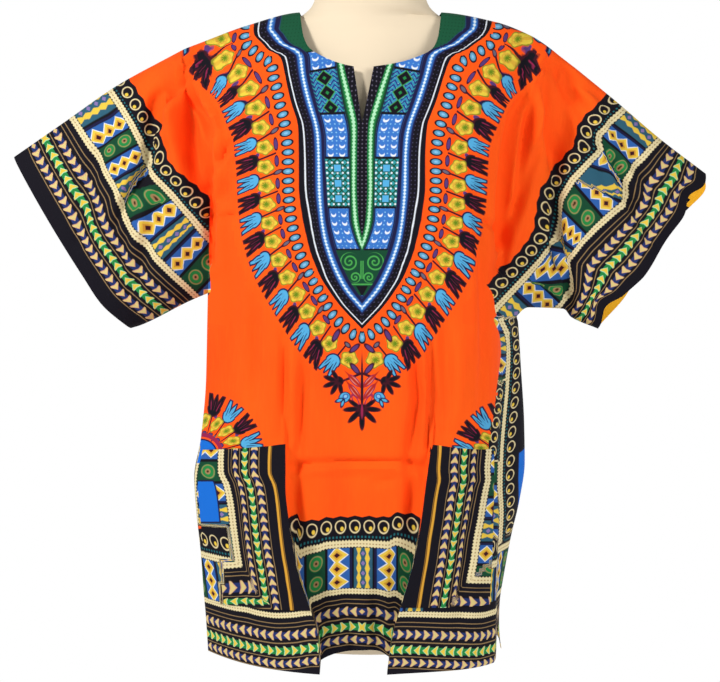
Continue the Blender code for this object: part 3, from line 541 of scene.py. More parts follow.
def shared_normals(sheets):
    """Outward normals of all sheets' points, the same where sheets meet."""
    keys = np.concatenate([sheet.keys for sheet in sheets])
    number = np.unique(keys, axis=0, return_inverse=True)[1].ravel()
    total = np.zeros((number.max() + 1, 3))
    offset = 0
    for sheet in sheets:
        corner = sheet.points[sheet.quads]
        normal = np.cross(corner[:, 2] - corner[:, 0], corner[:, 3] - corner[:, 1])
        for k in range(4):
            np.add.at(total, number[offset + sheet.quads[:, k]], normal)
        offset += len(sheet.points)
    total = unit(total)[number]
    return np.split(total, np.cumsum([len(sheet.points) for sheet in sheets])[:-1])


# ---- the print's drawing: steps of 1.2 mm as seen square from the front ----
STEP = 0.0012
VIEW_DISTANCE = 2.5          # the drawing is laid out as seen from here
VIEW_HEIGHT = 0.600
VIEW_PLANE = 2.4             # distance at which a step is STEP long
VIEW_TILT = math.radians(4.64)
CENTRE_ROW = 341.0           # drawing row at the middle of the view
FOCAL_STEPS = 2007.0
HEM_REACH = 80.0             # a sleeve's hem line is drawn this much longer at both ends
SLEEVE_START = {LEFT: 0.0, RIGHT: 5.0}   # border coordinate at the sleeve's hem
PALE_LOW, PALE_HIGH = 69.5, 115.0        # border coordinate of the two pale bands
# the pale bands on the sleeves, from the top edge to the underarm, as (column, row)
SLEEVE_LOW = {
    (FRONT, LEFT): ((-286.9, 118.6), (-280.1, 129.4), (-273, 140.9), (-259.1, 164.9), (-242.2, 193.3),
                    (-239.1, 205), (-237.5, 214.3), (-231.4, 226.7), (-206.7, 257.5), (-188.2, 276),
                    (-172.7, 290), (-150, 312)),
    (FRONT, RIGHT): ((294, 141.7), (285.7, 150), (275.7, 161.7), (265.7, 173.3), (261.7, 183.3),
                     (262.3, 196.7), (257.3, 206.7), (245.7, 216.7), (232.3, 228.3), (219, 241.7),
                     (209, 255), (205, 262), (207, 290), (202, 301), (179, 326), (154, 352)),
    (BACK, LEFT): ((-287, 117), (-262, 160), (-240, 205), (-206, 252), (-160, 300)),
    (BACK, RIGHT): ((294, 140), (268, 182), (243, 222), (212, 264), (170, 312)),
}
SLEEVE_HIGH = {
    (FRONT, LEFT): ((-247.4, 94), (-237.5, 109.4), (-228.3, 124.8), (-220.6, 140.2), (-216, 152.6),
                    (-214.4, 166.5), (-206.7, 177.3), (-188.2, 195.8), (-169.6, 217.4), (-154.2, 237.5),
                    (-136, 262)),
    (FRONT, RIGHT): ((257.3, 111.7), (244, 125), (235, 135), (233.5, 143), (237.3, 150), (209, 180),
                     (197.3, 200), (195.7, 213), (192.3, 240), (179, 260), (159, 281.7), (135.7, 306.7),
                     (122, 324)),
    (BACK, LEFT): ((-247, 93), (-224, 132), (-202, 172), (-172, 212), (-132, 252)),
    (BACK, RIGHT): ((257, 112), (232, 150), (206, 190), (174, 232), (136, 274)),
}
# cells of the sleeves' borders by distance along the lower pale band, one table for each stretch
# between the long folds that cross the sleeve
SLEEVE_CELLS = {
    LEFT: (Table("along cell", (-90, -90), (0, 0), (28, 21.5), (45, 43), (64.7, 64.5), (150, 150)),
           Table(
               "along cell", (0, 29), (100, 129), (134.9, 150.5), (157.8, 172), (182.5, 193.5),
               (205.4, 215), (300, 310))),
    RIGHT: (Table("along cell", (-90, -90), (3.5, 0), (23.7, 21.5), (42.9, 43), (100, 100)),
            Table("along cell", (0, 24), (62, 86), (86.5, 107.5), (110, 129), (131, 150.5), (200, 220)),
            Table(
                "along cell", (90, 125), (160, 193.5), (188, 215), (208.9, 236.5), (237, 258),
                (300, 320))),
}
# the long folds, as (column, row), and the sign of the side that lies nearer the body
SLEEVE_FOLD_LINES = {
    LEFT: ((((-175, 60), (-177, 68), (-203, 124), (-214, 160), (-236, 205), (-251, 235), (-265, 350)),
            -1),),
    RIGHT: ((((188, 52), (191, 60), (221, 112), (239, 150), (259, 190), (284, 235), (310, 280)), 1),
            (((178, 50), (180, 66), (185, 140), (189, 192), (195, 205), (194, 236), (205, 262), (204, 340)),
             1)),
}
JUMP_RAMP = 1.6              # half of the width over which the cells jump at a long fold

# the yoke's lines: half-widths by drawing row; below its apex a line runs on as a negative number
YOKE_LINES = Table(
    "row outer white bead ladder_out ladder_in green", (15, 118, 112, 100, 92, 30, 24),
    (28, 117, 112, 101, 93, 31, 26), (35, 114.5, 110.5, 94.5, 86.5, 31, 26),
    (44, 104.5, 100.5, 85.6, 78, 31, 26), (50, 98, 94.5, 71, 63.5, 30.5, 26),
    (56, 86, 80.5, 65, 58, 30, 25.5), (62, 82.5, 78, 63.8, 56.8, 29.5, 25),
    (74, 79, 75, 61.5, 55, 27.5, 22), (86, 76, 71.8, 58.6, 51.8, 25, 18.4),
    (102, 71.8, 67.3, 54, 47, 21.5, 14), (114, 67.5, 63, 49.8, 43.5, 18.5, 10.8),
    (124, 64.4, 59.5, 46.6, 40.5, 15.5, 8.9), (137, 63.4, 57.8, 44.2, 38, 13.8, 8.4),
    (158, 63, 56.5, 43, 37.2, 13.4, 8.4), (186, 63, 56, 42.7, 35.4, 13, 8.6),
    (218, 59.5, 51.4, 40.4, 33.6, 12.3, 7), (240, 54.7, 47.6, 36.9, 29, 6.6, 2.6),
    (251, 52, 45, 33.6, 25.8, 1.5, -2), (265, 46.8, 40, 28.6, 20, -6, -8),
    (278, 41, 35.5, 22.4, 14, -13, -15), (290, 33.5, 28.5, 15.6, 6.5, -20, -22),
    (305, 22.6, 18.4, 2.6, -4, -28, -30), (315, 13.6, 9.2, -6, -12, -34, -36),
    (329, 0, -4.4, -18, -24, -44, -46), (345, -15, -19.5, -33, -39, -58, -60))
YOKE_MARKS = (0, 5, 19, 26, 49, 55)      # the yoke coordinate on those lines
YOKE_TILT = 0.2              # near the shoulders its bars fall inwards, from this yoke coordinate
GREEN_EDGE = 26.0
TILT_ROWS = (130.0, 70.0)
CENTRE_SHIFT = Table(
    "row shift", (15, 11.5), (25, 10.5), (35, 8.3), (44, 6.6), (51, 5.0), (64, 3.4), (85, 2.1),
    (100, 1.5), (120, 0.8), (160, 0.0), (700, 0.0))
# the two rings round the yoke: half-width of their middle lines by drawing row
LENS_LINE = Table(
    "row half", (15, 124), (31, 124), (43, 121.7), (50, 113.8), (55.6, 107.4), (59, 101), (64, 93),
    (73, 91), (80.5, 89.5), (88, 86.5), (103.7, 83.0), (118, 78.7), (135.5, 75.5), (154, 73.5),
    (182, 73.5), (213, 71.5), (230, 68.7), (244, 65.2), (262.3, 58.6), (279.7, 49.4), (295.4, 40.7),
    (312.2, 31.5), (319.8, 25.5), (326.3, 19), (333.0, 11.4), (336.3, 5.5), (337.7, 0.0))
FLOWER_LINE = Table(
    "row half", (10, 144), (25, 144), (35, 145), (46, 145), (58, 138), (71, 124), (87, 112.5),
    (107.7, 105), (126.5, 100.5), (146.6, 96.5), (167, 95.5), (188, 94.6), (208, 93.5), (229, 91),
    (250, 86), (272, 77), (295, 64), (312.7, 53.5), (329.5, 42.3), (344.4, 30.5), (355.5, 18.0),
    (362.0, 9.0), (364.5, 0.0))
LENS_PITCH = 9.55
FLOWER_PITCH = 20.0
TULIP_PITCH = 40.0           # from one tulip to the next of its colour
FLOWER_TIP = 12.5            # the first yellow flower's place from the tip
SHEAR = 0.36                 # tulips and leaves lean down as they leave the ring
BACK_CENTRE = (0.0105, 0.800)
BACK_YOKE = 0.141            # radius of the back's round yoke
BACK_LENS = 0.149
BACK_FLOWER = 0.173
BACK_ROWS = 1000.0           # the back's rows are counted from here, clear of the front's own motifs

# border of the hem: cloth steps up from the hem to border coordinate, and across to its cells
HEM_BORDER = Table(
    "up border", (-20, -7), (0, 13), (8, 21.5), (21, 35), (37, 48), (47.5, 58.5), (58, 69.5), (62, 74),
    (102, 110.5), (106.5, 115), (125.5, 129), (134, 137), (160, 163), (2000, 2003))
HEM_LIFT = Table(
    "across lift", (-160, -2), (-125, -2), (-100, 1), (-82, 5), (-66, 6), (-62, -2), (-45, -2), (-35, 0),
    (25, 0), (35, 5), (66, 4), (110, 0), (160, -6))
HEM_CELLS = Table(
    "across cell", (-430, -427), (-46, -43), (-25, -21.5), (-10.5, -12), (1, 0), (13, 12), (27, 21.5),
    (43, 43), (427, 427))
# pocket: border coordinate by steps from its pale column towards the inner edge, and by row
POCKET_ACROSS = Table(
    "in border", (-60, 137), (-14, 84), (-3.5, 73.5), (0, 69.5), (3.3, 66), (8, 60), (10, 57), (14, 48),
    (24, 35), (33, 21.5), (38.5, 15.5), (46, 3), (49, 0), (52, -4), (60, -12), (90, -42))
POCKET_COLUMN = {
    LEFT: Table(
        "row x", (440, -140.5), (465, -141.5), (472, -141.5), (476, -140.5), (485, -136.5), (500, -133.8),
        (530, -130.8), (555, -127.7), (570, -125), (610, -119)),
    RIGHT: Table(
        "row x", (440, 127), (450, 126.7), (470, 125.3), (480, 126), (485, 125), (500, 122.3),
        (520, 119.5), (540, 116.2), (560, 113.6), (575, 111), (610, 105)),
}
POCKET_DOWN = {
    LEFT: Table(
        "row border", (440, 194), (540, 95), (561, 73.5), (565, 69.5), (569, 66), (575, 57), (588.5, 48),
        (597, 41.6), (601, 35), (610, 27), (625, 12)),
    RIGHT: Table(
        "row border", (440, 208), (555, 95), (576, 73.5), (580.5, 69.5), (584, 66), (591, 57), (603, 48),
        (609, 41.6), (613, 35), (625, 21)),
}
POCKET_TWIN_ROW = {LEFT: 514.5, RIGHT: 531.0}
# the back panel's border, seen beside the front on the right: its pale line, first row, first row
# that may belong to the hem's border, and last row
STRIP_COLUMN = Table(
    "row x", (321, 139), (337, 146), (360, 148.5), (387, 147), (425, 142.6), (452, 140), (485, 139),
    (516, 141), (545, 140))
STRIP_ROWS = (318, 538, 545)
BACK_STRIP_WIDTH = 14.0      # of the side strips on the back
BACK_ARMPIT_CUT = 152.0      # the back's sleeve border is cut off inside this column at the armpit
BLACK_REACH = 35.0           # the strip stays black this far outwards of its pale line
BLACK_END = 38.0             # and ends here
BLUE_ROWS = (462, 524)       # bright blue ground beside the pockets
BLUE_OUTSIDE = 23.5          # it starts this far outside the side strip's pale line
BLUE_COLUMN = -138.0         # it ends at this column beside the left pocket
BLUE_HIP = 3.5               # and starts this far inside the hip's pale line
BLUE_ABOVE, BLUE_BELOW = -12.0, 2.0    # there it starts and ends this much lower
# motifs above the pockets, round a corner point
CORNER_POINT = {LEFT: (-161, 455), RIGHT: (151, 462)}
CORNER_RADIUS = 68.0
CORNER_MARGIN = 8.0          # their places are kept this much further out
CORNER_ZONE = (60.0, 340.0)  # and only beyond this column, below this row
CORNER_RING = 33.0           # radius of the motifs' ring
CORNER_TURN = 35.4           # direction of its first yellow flower, in degrees from straight up
CORNER_FLOWER = 10.0         # that flower's place along the ring
# the flowers' even places by true distance along their ring
FLOWER_ALONG = Table("along place", (-20, -28), (36, 30), (132, 128), (228, 230), (330, 330), (500, 500))
# tulips reach further near the shoulders
FLOWER_SPREAD = Table("row further", (40, 8), (110, 5), (150, 0), (450, 0))
SPREAD_START, SPREAD_FULL = 4.0, 16.0    # outwards of the ring
BODY_EDGE = 165.0            # columns of the body's edges below the sleeves
ARMPIT_ROW = 322.0
SLEEVE_ZONE = (0.12, 0.36)   # x and z in metres beyond which a sleeve's border may be printed
# the side strip inwards of its pale line: where the ground begins, and how far its own places reach
STRIP_WIDTH = Table("row x", (318, 7), (350, 9), (372, 11), (440, 14), (462, 14), (472, 60))
STRIP_REACH = Table("row x", (318, 18), (455, 18), (470, 40))
STRIP_SLOPE = 1.1            # border coordinate by step across the strip
TWIN_SLOPE = -1.6            # the same inwards of the pale line, where it has rings on both sides
RING_TOP = 135.5             # the strip's highest coordinate, so that its outside stays black
PRINT_TOP = 142.0            # nothing of the border is drawn above this coordinate
HIDDEN = -20.0               # a place in the Cut map that draws nothing
# the pale line at the left hip, seen beside the pocket, and how far the border reaches inwards of it
HIP_STRIP = Table("row x reach", (440, -161.5, 3), (466, -165.5, 3), (472, -167, 26), (530, -164, 26))
HIP_ROWS = (444, 526)
HIP_SHIFT = 3.0              # the pale line's middle, counted outwards from its first point
CUT_END_ROW = 471            # from here down the hem's border takes over
BACK_CUT_ROW = 290           # first row at which the back's border is cut off
TWIN_RINGS_ROW = 382.0       # from here down the side strip has rings on both sides of its pale line
# columns where the sleeves' borders are cut off by the body's edge
LEFT_CUT = Table(
    "row x", (180, -157), (200, -154), (250, -153), (290, -151), (297, -154), (301, -160), (322, -208),
    (332, -232), (430, -232))
RIGHT_CUT = Table("row x", (250, 100), (280, 122), (296, 131), (310, 133), (330, 139))


def drawing_place(points):
    """Drawing column (0 at the middle) and row of points, as seen square from the front."""
    away = VIEW_DISTANCE + points[..., 1]
    column = points[..., 0] * VIEW_PLANE / (STEP * away)
    angle = np.arctan((points[..., 2] - VIEW_HEIGHT) / away) + VIEW_TILT
    return column, CENTRE_ROW - FOCAL_STEPS * np.tan(angle)


def on_line(line, places):
    """Distance along a polyline and off it for many places; off is negative on its left."""
    line = np.array(line, dtype=float)
    run = np.diff(line, axis=0)
    length = np.linalg.norm(run, axis=1)
    before = np.concatenate([[0.0], np.cumsum(length)[:-1]])
    best = np.full(len(places), np.inf)
    along, off = np.zeros(len(places)), np.zeros(len(places))
    for k in range(len(run)):
        rel = places - line[k]
        share = np.clip(rel @ run[k] / length[k] ** 2, 0.0, 1.0)
        far = np.linalg.norm(rel - share[:, None] * run[k], axis=1)
        near = far < best
        best[near] = far[near]
        along[near] = before[k] + share[near] * length[k]
        turn = run[k][0] * rel[near, 1] - run[k][1] * rel[near, 0]
        off[near] = far[near] * np.where(turn >= 0, 1.0, -1.0)
    return along, off


def ring_place(table, half, row):
    """Distance along a ring from its tip, and outwards from its middle line."""
    rows = np.arange(table.key[0], table.key[-1] - 1.0, 3.0)[::-1]
    rows = np.concatenate([[table.key[-1]], rows])
    line = np.stack([table.at("half", rows), rows], axis=1)
    mirrored = np.array([[-line[1, 0], line[1, 1]]])
    along, off = on_line(np.concatenate([mirrored, line]), np.stack([half, row], axis=1))
    return along - np.linalg.norm(line[0] - mirrored[0]), off


def yoke_place(half, row):
    """Yoke coordinate of places: 0 on its outer edge, growing inwards, negative outside."""
    lines = np.stack([YOKE_LINES.at(name, row) for name in YOKE_LINES.names[1:]], axis=-1)
    found = lines[..., 0] - half
    for k in range(len(YOKE_MARKS) - 1):
        wide, narrow = lines[..., k], lines[..., k + 1]
        share = (wide - half) / np.maximum(wide - narrow, 0.5)
        here = (half < wide) & (half >= narrow)
        found = np.where(here, YOKE_MARKS[k] + share * (YOKE_MARKS[k + 1] - YOKE_MARKS[k]), found)
    inside = half < lines[..., -1]
    return np.where(inside, YOKE_MARKS[-1] + lines[..., -1] - half, found)


def sleeve_border(face, side, places):
    """Border coordinates on a sleeve: across its cells, and up from its hem."""
    rows = np.linspace(0, 1, 60)
    hem = sleeve(face, side, rows, np.ones_like(rows)) * np.array([1.0, -face, 1.0])
    hem = np.stack(drawing_place(hem), axis=1)
    over, under = unit(hem[0] - hem[6]), unit(hem[-1] - hem[-7])
    hem = np.concatenate([[hem[0] + over * HEM_REACH], hem, [hem[-1] + under * HEM_REACH]])
    low = np.array(SLEEVE_LOW[face, side], dtype=float)
    high = np.array(SLEEVE_HIGH[face, side], dtype=float)
    lines = []
    for line in (hem, low, high):
        start = line[0] + unit(line[0] - line[1]) * HEM_REACH
        lines.append(on_line(np.concatenate([[start], line]), places))
    from_hem, from_low, from_high = (found[1] * side for found in lines)
    start = SLEEVE_START[side]
    hem_share = np.clip(from_hem, 0, None) / np.maximum(np.clip(from_hem, 0, None) - from_low, 0.5)
    block_share = from_low / np.maximum(from_low - from_high, 0.5)
    level = np.where(from_low < 0, start + (PALE_LOW - start) * hem_share,
                     PALE_LOW + (PALE_HIGH - PALE_LOW) * block_share)
    level = np.where(from_high >= 0, PALE_HIGH + from_high, level)
    along = lines[1][0] - HEM_REACH
    tables = SLEEVE_CELLS[side]
    cell = tables[0].at("cell", along)
    if face == FRONT:
        for table, (line, body_side) in zip(tables[1:], SLEEVE_FOLD_LINES[side]):
            past = ramp(on_line(line, places)[1] * body_side, -JUMP_RAMP, JUMP_RAMP)
            cell = cell + (table.at("cell", along) - cell) * past
    else:
        cell = along
    runs = [(places - line[0]) @ unit(line[-1] - line[0]) for line in (low, high)]
    return cell, level, *runs


# by drawing row, in steps of arc from the centre line: edges of the middle panel, and of the flaps over it
PANEL_EDGE = Table(
    "row left right left_flap right_flap", (430, -73.5, 67, -77, 70.5), (545, -66.2, 52.5, -89, 75),
    (653, -41.5, 26.8, -75, 64))
# how much lower the panel hangs, and how much higher its border sits, by share of its width
PANEL = Table(
    "share droop lift", (0, 7, 3), (0.09, 4, 5), (0.25, 1, 4), (0.5, 0, 3), (0.7, 0.8, 1.5),
    (0.8, 2.2, 1), (0.88, 4.5, 0), (0.95, 8, -1), (1.0, 11, -2))
DROOP_ROWS = (525, 560)
ARC_MARKS = np.arange(320.0, 650.0, 10.0)    # rows at which an arc's start is looked up
ARC_BAND = 8.0               # by the points this close to such a row


def panel_value(name, across, row):
    """A value of the middle panel, fading to 0 under the flaps."""
    left, right, left_flap, right_flap = (PANEL_EDGE.at(edge, row) for edge in PANEL_EDGE.names[1:])
    value = PANEL.at(name, np.clip((across - left) / (right - left), 0, 1))
    return value * ramp(across, left_flap, left) * ramp(across, right_flap, right)


def arc_beyond(sheet, side, past_line, row):
    """Steps along the cloth outwards from where it first passes a line; past_line is above 0 beyond it."""
    arc = np.abs(sheet.across) / STEP
    found = []
    for mark in ARC_MARKS:
        beyond = (past_line > 0) & (np.abs(row - mark) < ARC_BAND) & (side * sheet.points[:, 0] > 0)
        found.append(arc[beyond].min() if beyond.any() else np.nan)
    found = np.array(found)
    known = ~np.isnan(found)
    return arc - np.interp(row, ARC_MARKS[known], found[known])


def put_line(here, maps, level, along):
    """Give the points that are here the places of a pale line of their own: across it, and along it."""
    cell, own_level, low_run, high_run = maps
    own_level[here] = level[here]
    for values in (cell, low_run, high_run):
        values[here] = along[here]


def put_sleeves(sheet, column, row, maps):
    """Give the points near a sleeve's border the sleeve's places."""
    for side in (LEFT, RIGHT):
        here = (side * sheet.points[:, 0] > SLEEVE_ZONE[0]) & (sheet.points[:, 2] > SLEEVE_ZONE[1])
        here &= (np.abs(column) > BODY_EDGE) | (row < ARMPIT_ROW)
        own = sleeve_border(sheet.face, side, np.stack([column[here], row[here]], axis=1))
        closer = own[1] < maps[1][here]
        for values, found in zip(maps, own):
            values[here] = np.where(closer, found, values[here])


def put_strip(sheet, column, row, maps):
    """Give the points of a side strip its places; also how far outwards of its pale line each point is."""
    start, hem_row, end = STRIP_ROWS
    reach = STRIP_REACH.at("x", row)
    outside = (np.abs(column) if sheet.face == BACK else column) - STRIP_COLUMN.at("x", row)
    if sheet.face == BACK:
        reach = np.minimum(reach, BACK_STRIP_WIDTH)
        hidden = sheet.points[:, 0] < 0
        outside[hidden] = arc_beyond(sheet, LEFT, outside, row)[hidden]
    here = (outside > -reach) & (outside < BLACK_END) & (row > start) & (row < end)
    if sheet.face == FRONT:
        here &= row < hem_row
    twin = (outside < 0) & (row > TWIN_RINGS_ROW) & (row < BLUE_ROWS[0])
    strip = PALE_HIGH + outside * np.where(twin, TWIN_SLOPE, STRIP_SLOPE)
    strip = np.where((row < hem_row) & (outside < BLACK_REACH), np.minimum(strip, RING_TOP), strip)
    put_line(here, maps, np.where(row > hem_row, np.minimum(strip, maps[1]), strip), row)
    return outside


def put_hip(sheet, column, row, maps):
    """Give the points at the front's left hip the places of the back panel's line."""
    hip = HIP_STRIP.at("x", row)
    here = (column < hip + HIP_STRIP.at("reach", row)) & (row > HIP_ROWS[0]) & (row < HIP_ROWS[1])
    level = PALE_HIGH + (arc_beyond(sheet, LEFT, hip - column, row) - HIP_SHIFT) * STRIP_SLOPE
    put_line(here, maps, level, row)


def front_cut(column, row):
    """Where the front's border is cut off, and where its ground is bright blue."""
    blue = np.minimum(BLUE_COLUMN - column, column - HIP_STRIP.at("x", row) - BLUE_HIP)
    first, last = BLUE_ROWS[0] + BLUE_ABOVE, BLUE_ROWS[1] + BLUE_BELOW
    blue = np.minimum(blue, np.minimum(row - first, last - row))
    left = (column < 0) & (row > LEFT_CUT.key[0]) & (row < LEFT_CUT.key[-1])
    cut = np.where(left, column - LEFT_CUT.at("x", row), HIDDEN)
    strip_start = STRIP_COLUMN.at("x", row) - STRIP_WIDTH.at("x", row)
    end_of = np.where(row < STRIP_ROWS[0], RIGHT_CUT.at("x", row), strip_start)
    right = (column > 0) & (row > RIGHT_CUT.key[0]) & (row < CUT_END_ROW)
    return np.where(right, end_of - column, cut), blue


def back_cut(column, row, outside):
    """The same for the back, where both sides are alike; outside is the distance past the strip's line."""
    blue = np.minimum(outside - BLUE_OUTSIDE, np.minimum(row - BLUE_ROWS[0], BLUE_ROWS[1] - row))
    strip_start = STRIP_COLUMN.at("x", row) - np.minimum(STRIP_WIDTH.at("x", row), BACK_STRIP_WIDTH)
    end_of = np.where(row < STRIP_ROWS[0], BACK_ARMPIT_CUT, strip_start)
    cut = np.where((row > BACK_CUT_ROW) & (row < CUT_END_ROW), end_of - np.abs(column), HIDDEN)
    return cut, blue


def border_places(sheet):
    """The border's coordinates: across its cells, and up from its edge, for hem, sleeves and side strips.

    Run counts evenly along the lower and the upper pale band. Cut is above 0 where the border is cut off,
    and its second number where the ground is bright blue.
    """
    across = sheet.across / STEP
    lift = HEM_LIFT.at("lift", across)
    column, row = drawing_place(sheet.points * np.array([1.0, -sheet.face, 1.0]))
    if sheet.face == FRONT:
        lift = lift + panel_value("lift", across, row)
    level = HEM_BORDER.at("border", sheet.rise / STEP - lift)
    maps = (HEM_CELLS.at("cell", across), level, across.copy(), across.copy())
    put_sleeves(sheet, column, row, maps)
    outside = put_strip(sheet, column, row, maps)
    if sheet.face == FRONT:
        put_hip(sheet, column, row, maps)
        cut, blue = front_cut(column, row)
    else:
        cut, blue = back_cut(column, row, outside)
    cell, level, low_run, high_run = maps
    return {
        "Border": np.stack([cell, level], axis=1),
        "Run": np.stack([low_run, high_run], axis=1),
        "Cut": np.stack([cut, blue], axis=1),
    }


# how far each part of the print reaches, for the choice of a face's material
FLOWER_REACH = (-16.0, 36.0)     # inwards and outwards of the flowers' ring
LENS_REACH = 9.0
YOKE_EDGE = -1.5
TIP_HALF = 56.0              # half-width of the group below the yoke's point, and its rows
TIP_ROWS = (322.0, 440.0)
CORNER_END = 100.0           # the right strip lies over the corner's motifs from this column
STRIP_START = 118.0
LAST_FRONT_ROW = 640.0


def front_maps(sheet):
    """The print's places on the front, and each point's zone distances."""
    column, row = drawing_place(sheet.points)
    middle = column - CENTRE_SHIFT.at("shift", row)
    half = np.abs(middle)
    inward = yoke_place(half, row)
    down = row + YOKE_TILT * (inward - GREEN_EDGE) * ramp(row, *TILT_ROWS)
    lens_along, lens_out = ring_place(LENS_LINE, half, row)
    flower_along, flower_out = ring_place(FLOWER_LINE, half, row)
    flower_along = FLOWER_ALONG.at("place", flower_along - FLOWER_TIP)
    flower_out = flower_out - FLOWER_SPREAD.at("further", row) * ramp(flower_out, SPREAD_START, SPREAD_FULL)
    corner = np.full(len(row), np.inf)
    for side, (point_column, point_row) in CORNER_POINT.items():
        inwards, upwards = (point_column - column) * side, point_row - row
        radius = np.hypot(inwards, upwards)
        near = (radius < CORNER_RADIUS + CORNER_MARGIN) & (side * column > CORNER_ZONE[0])
        near &= row > CORNER_ZONE[1]
        turn = np.degrees(np.arctan2(inwards, upwards)) - CORNER_TURN
        out = radius - CORNER_RING
        flower_along = np.where(near, CORNER_FLOWER + turn - SHEAR * out, flower_along)
        flower_out = np.where(near, out, flower_out)
        corner = np.where(near, radius, corner)
    return {
        "Front": np.stack([middle, row], axis=1),
        "Yoke": np.stack([inward, down], axis=1),
        "Lens": np.stack([lens_along, lens_out], axis=1),
        "Flower": np.stack([flower_along, flower_out], axis=1),
        **border_places(sheet),
    }, corner


def back_maps(sheet):
    """The print's places on the back: rings round the neck and the same borders."""
    column, row = drawing_place(sheet.points * np.array([1.0, -1.0, 1.0]))
    x = sheet.points[:, 0] - BACK_CENTRE[0]
    z = sheet.points[:, 2] - BACK_CENTRE[1]
    radius = np.hypot(x, z)
    turn = np.abs(np.arctan2(x, -z))
    inward = (BACK_YOKE - radius) / STEP
    flower_along = turn * BACK_FLOWER / STEP - FLOWER_PITCH / 2
    return {
        "Front": np.stack([column, row + BACK_ROWS], axis=1),
        "Yoke": np.stack([inward, np.zeros_like(inward)], axis=1),
        "Lens": np.stack([turn * BACK_LENS / STEP, (radius - BACK_LENS) / STEP], axis=1),
        "Flower": np.stack([flower_along, (radius - BACK_FLOWER) / STEP], axis=1),
        **border_places(sheet),
    }, np.full(len(row), np.inf)


def zones_of(sheet, maps, corner):
    """Material name of every face; what is chosen later lies over what is chosen earlier."""
    quads = sheet.quads
    column, row = maps["Front"][:, 0][quads], maps["Front"][:, 1][quads]
    first_row, last_row = row.min(axis=1), row.max(axis=1)
    flower_out = maps["Flower"][:, 1][quads]
    ring = (flower_out.max(axis=1) > FLOWER_REACH[0]) & (flower_out.min(axis=1) < FLOWER_REACH[1])
    ring |= np.abs(maps["Lens"][:, 1][quads]).min(axis=1) < LENS_REACH
    border = maps["Border"][:, 1][quads].min(axis=1) < PRINT_TOP
    blue = maps["Cut"][:, 1][quads].max(axis=1) > 0
    tip = (np.abs(column).min(axis=1) < TIP_HALF) & (first_row > TIP_ROWS[0]) & (last_row < TIP_ROWS[1])
    in_strip = maps["Cut"][:, 0][quads].max(axis=1) < 0
    near_corner = corner[quads].min(axis=1) < CORNER_RADIUS
    near_corner &= ~(in_strip & (column.min(axis=1) > CORNER_END))
    middle_row = row.mean(axis=1)
    hip = column.max(axis=1) < HIP_STRIP.at("x", middle_row) + HIP_STRIP.at("reach", middle_row)
    hip &= (first_row > HIP_ROWS[0]) & (last_row < LAST_FRONT_ROW)
    strip = in_strip & (column.min(axis=1) > STRIP_START) & (first_row > STRIP_ROWS[0])
    chosen = np.full(len(quads), "plain", dtype=object)
    chosen[border | blue] = "border"
    chosen[ring] = "bouquet"
    chosen[near_corner] = "corner"
    chosen[border & (hip | strip)] = "border"
    chosen[tip] = "tip"
    chosen[maps["Yoke"][:, 0][quads].max(axis=1) > YOKE_EDGE] = "yoke"
    return chosen.tolist()


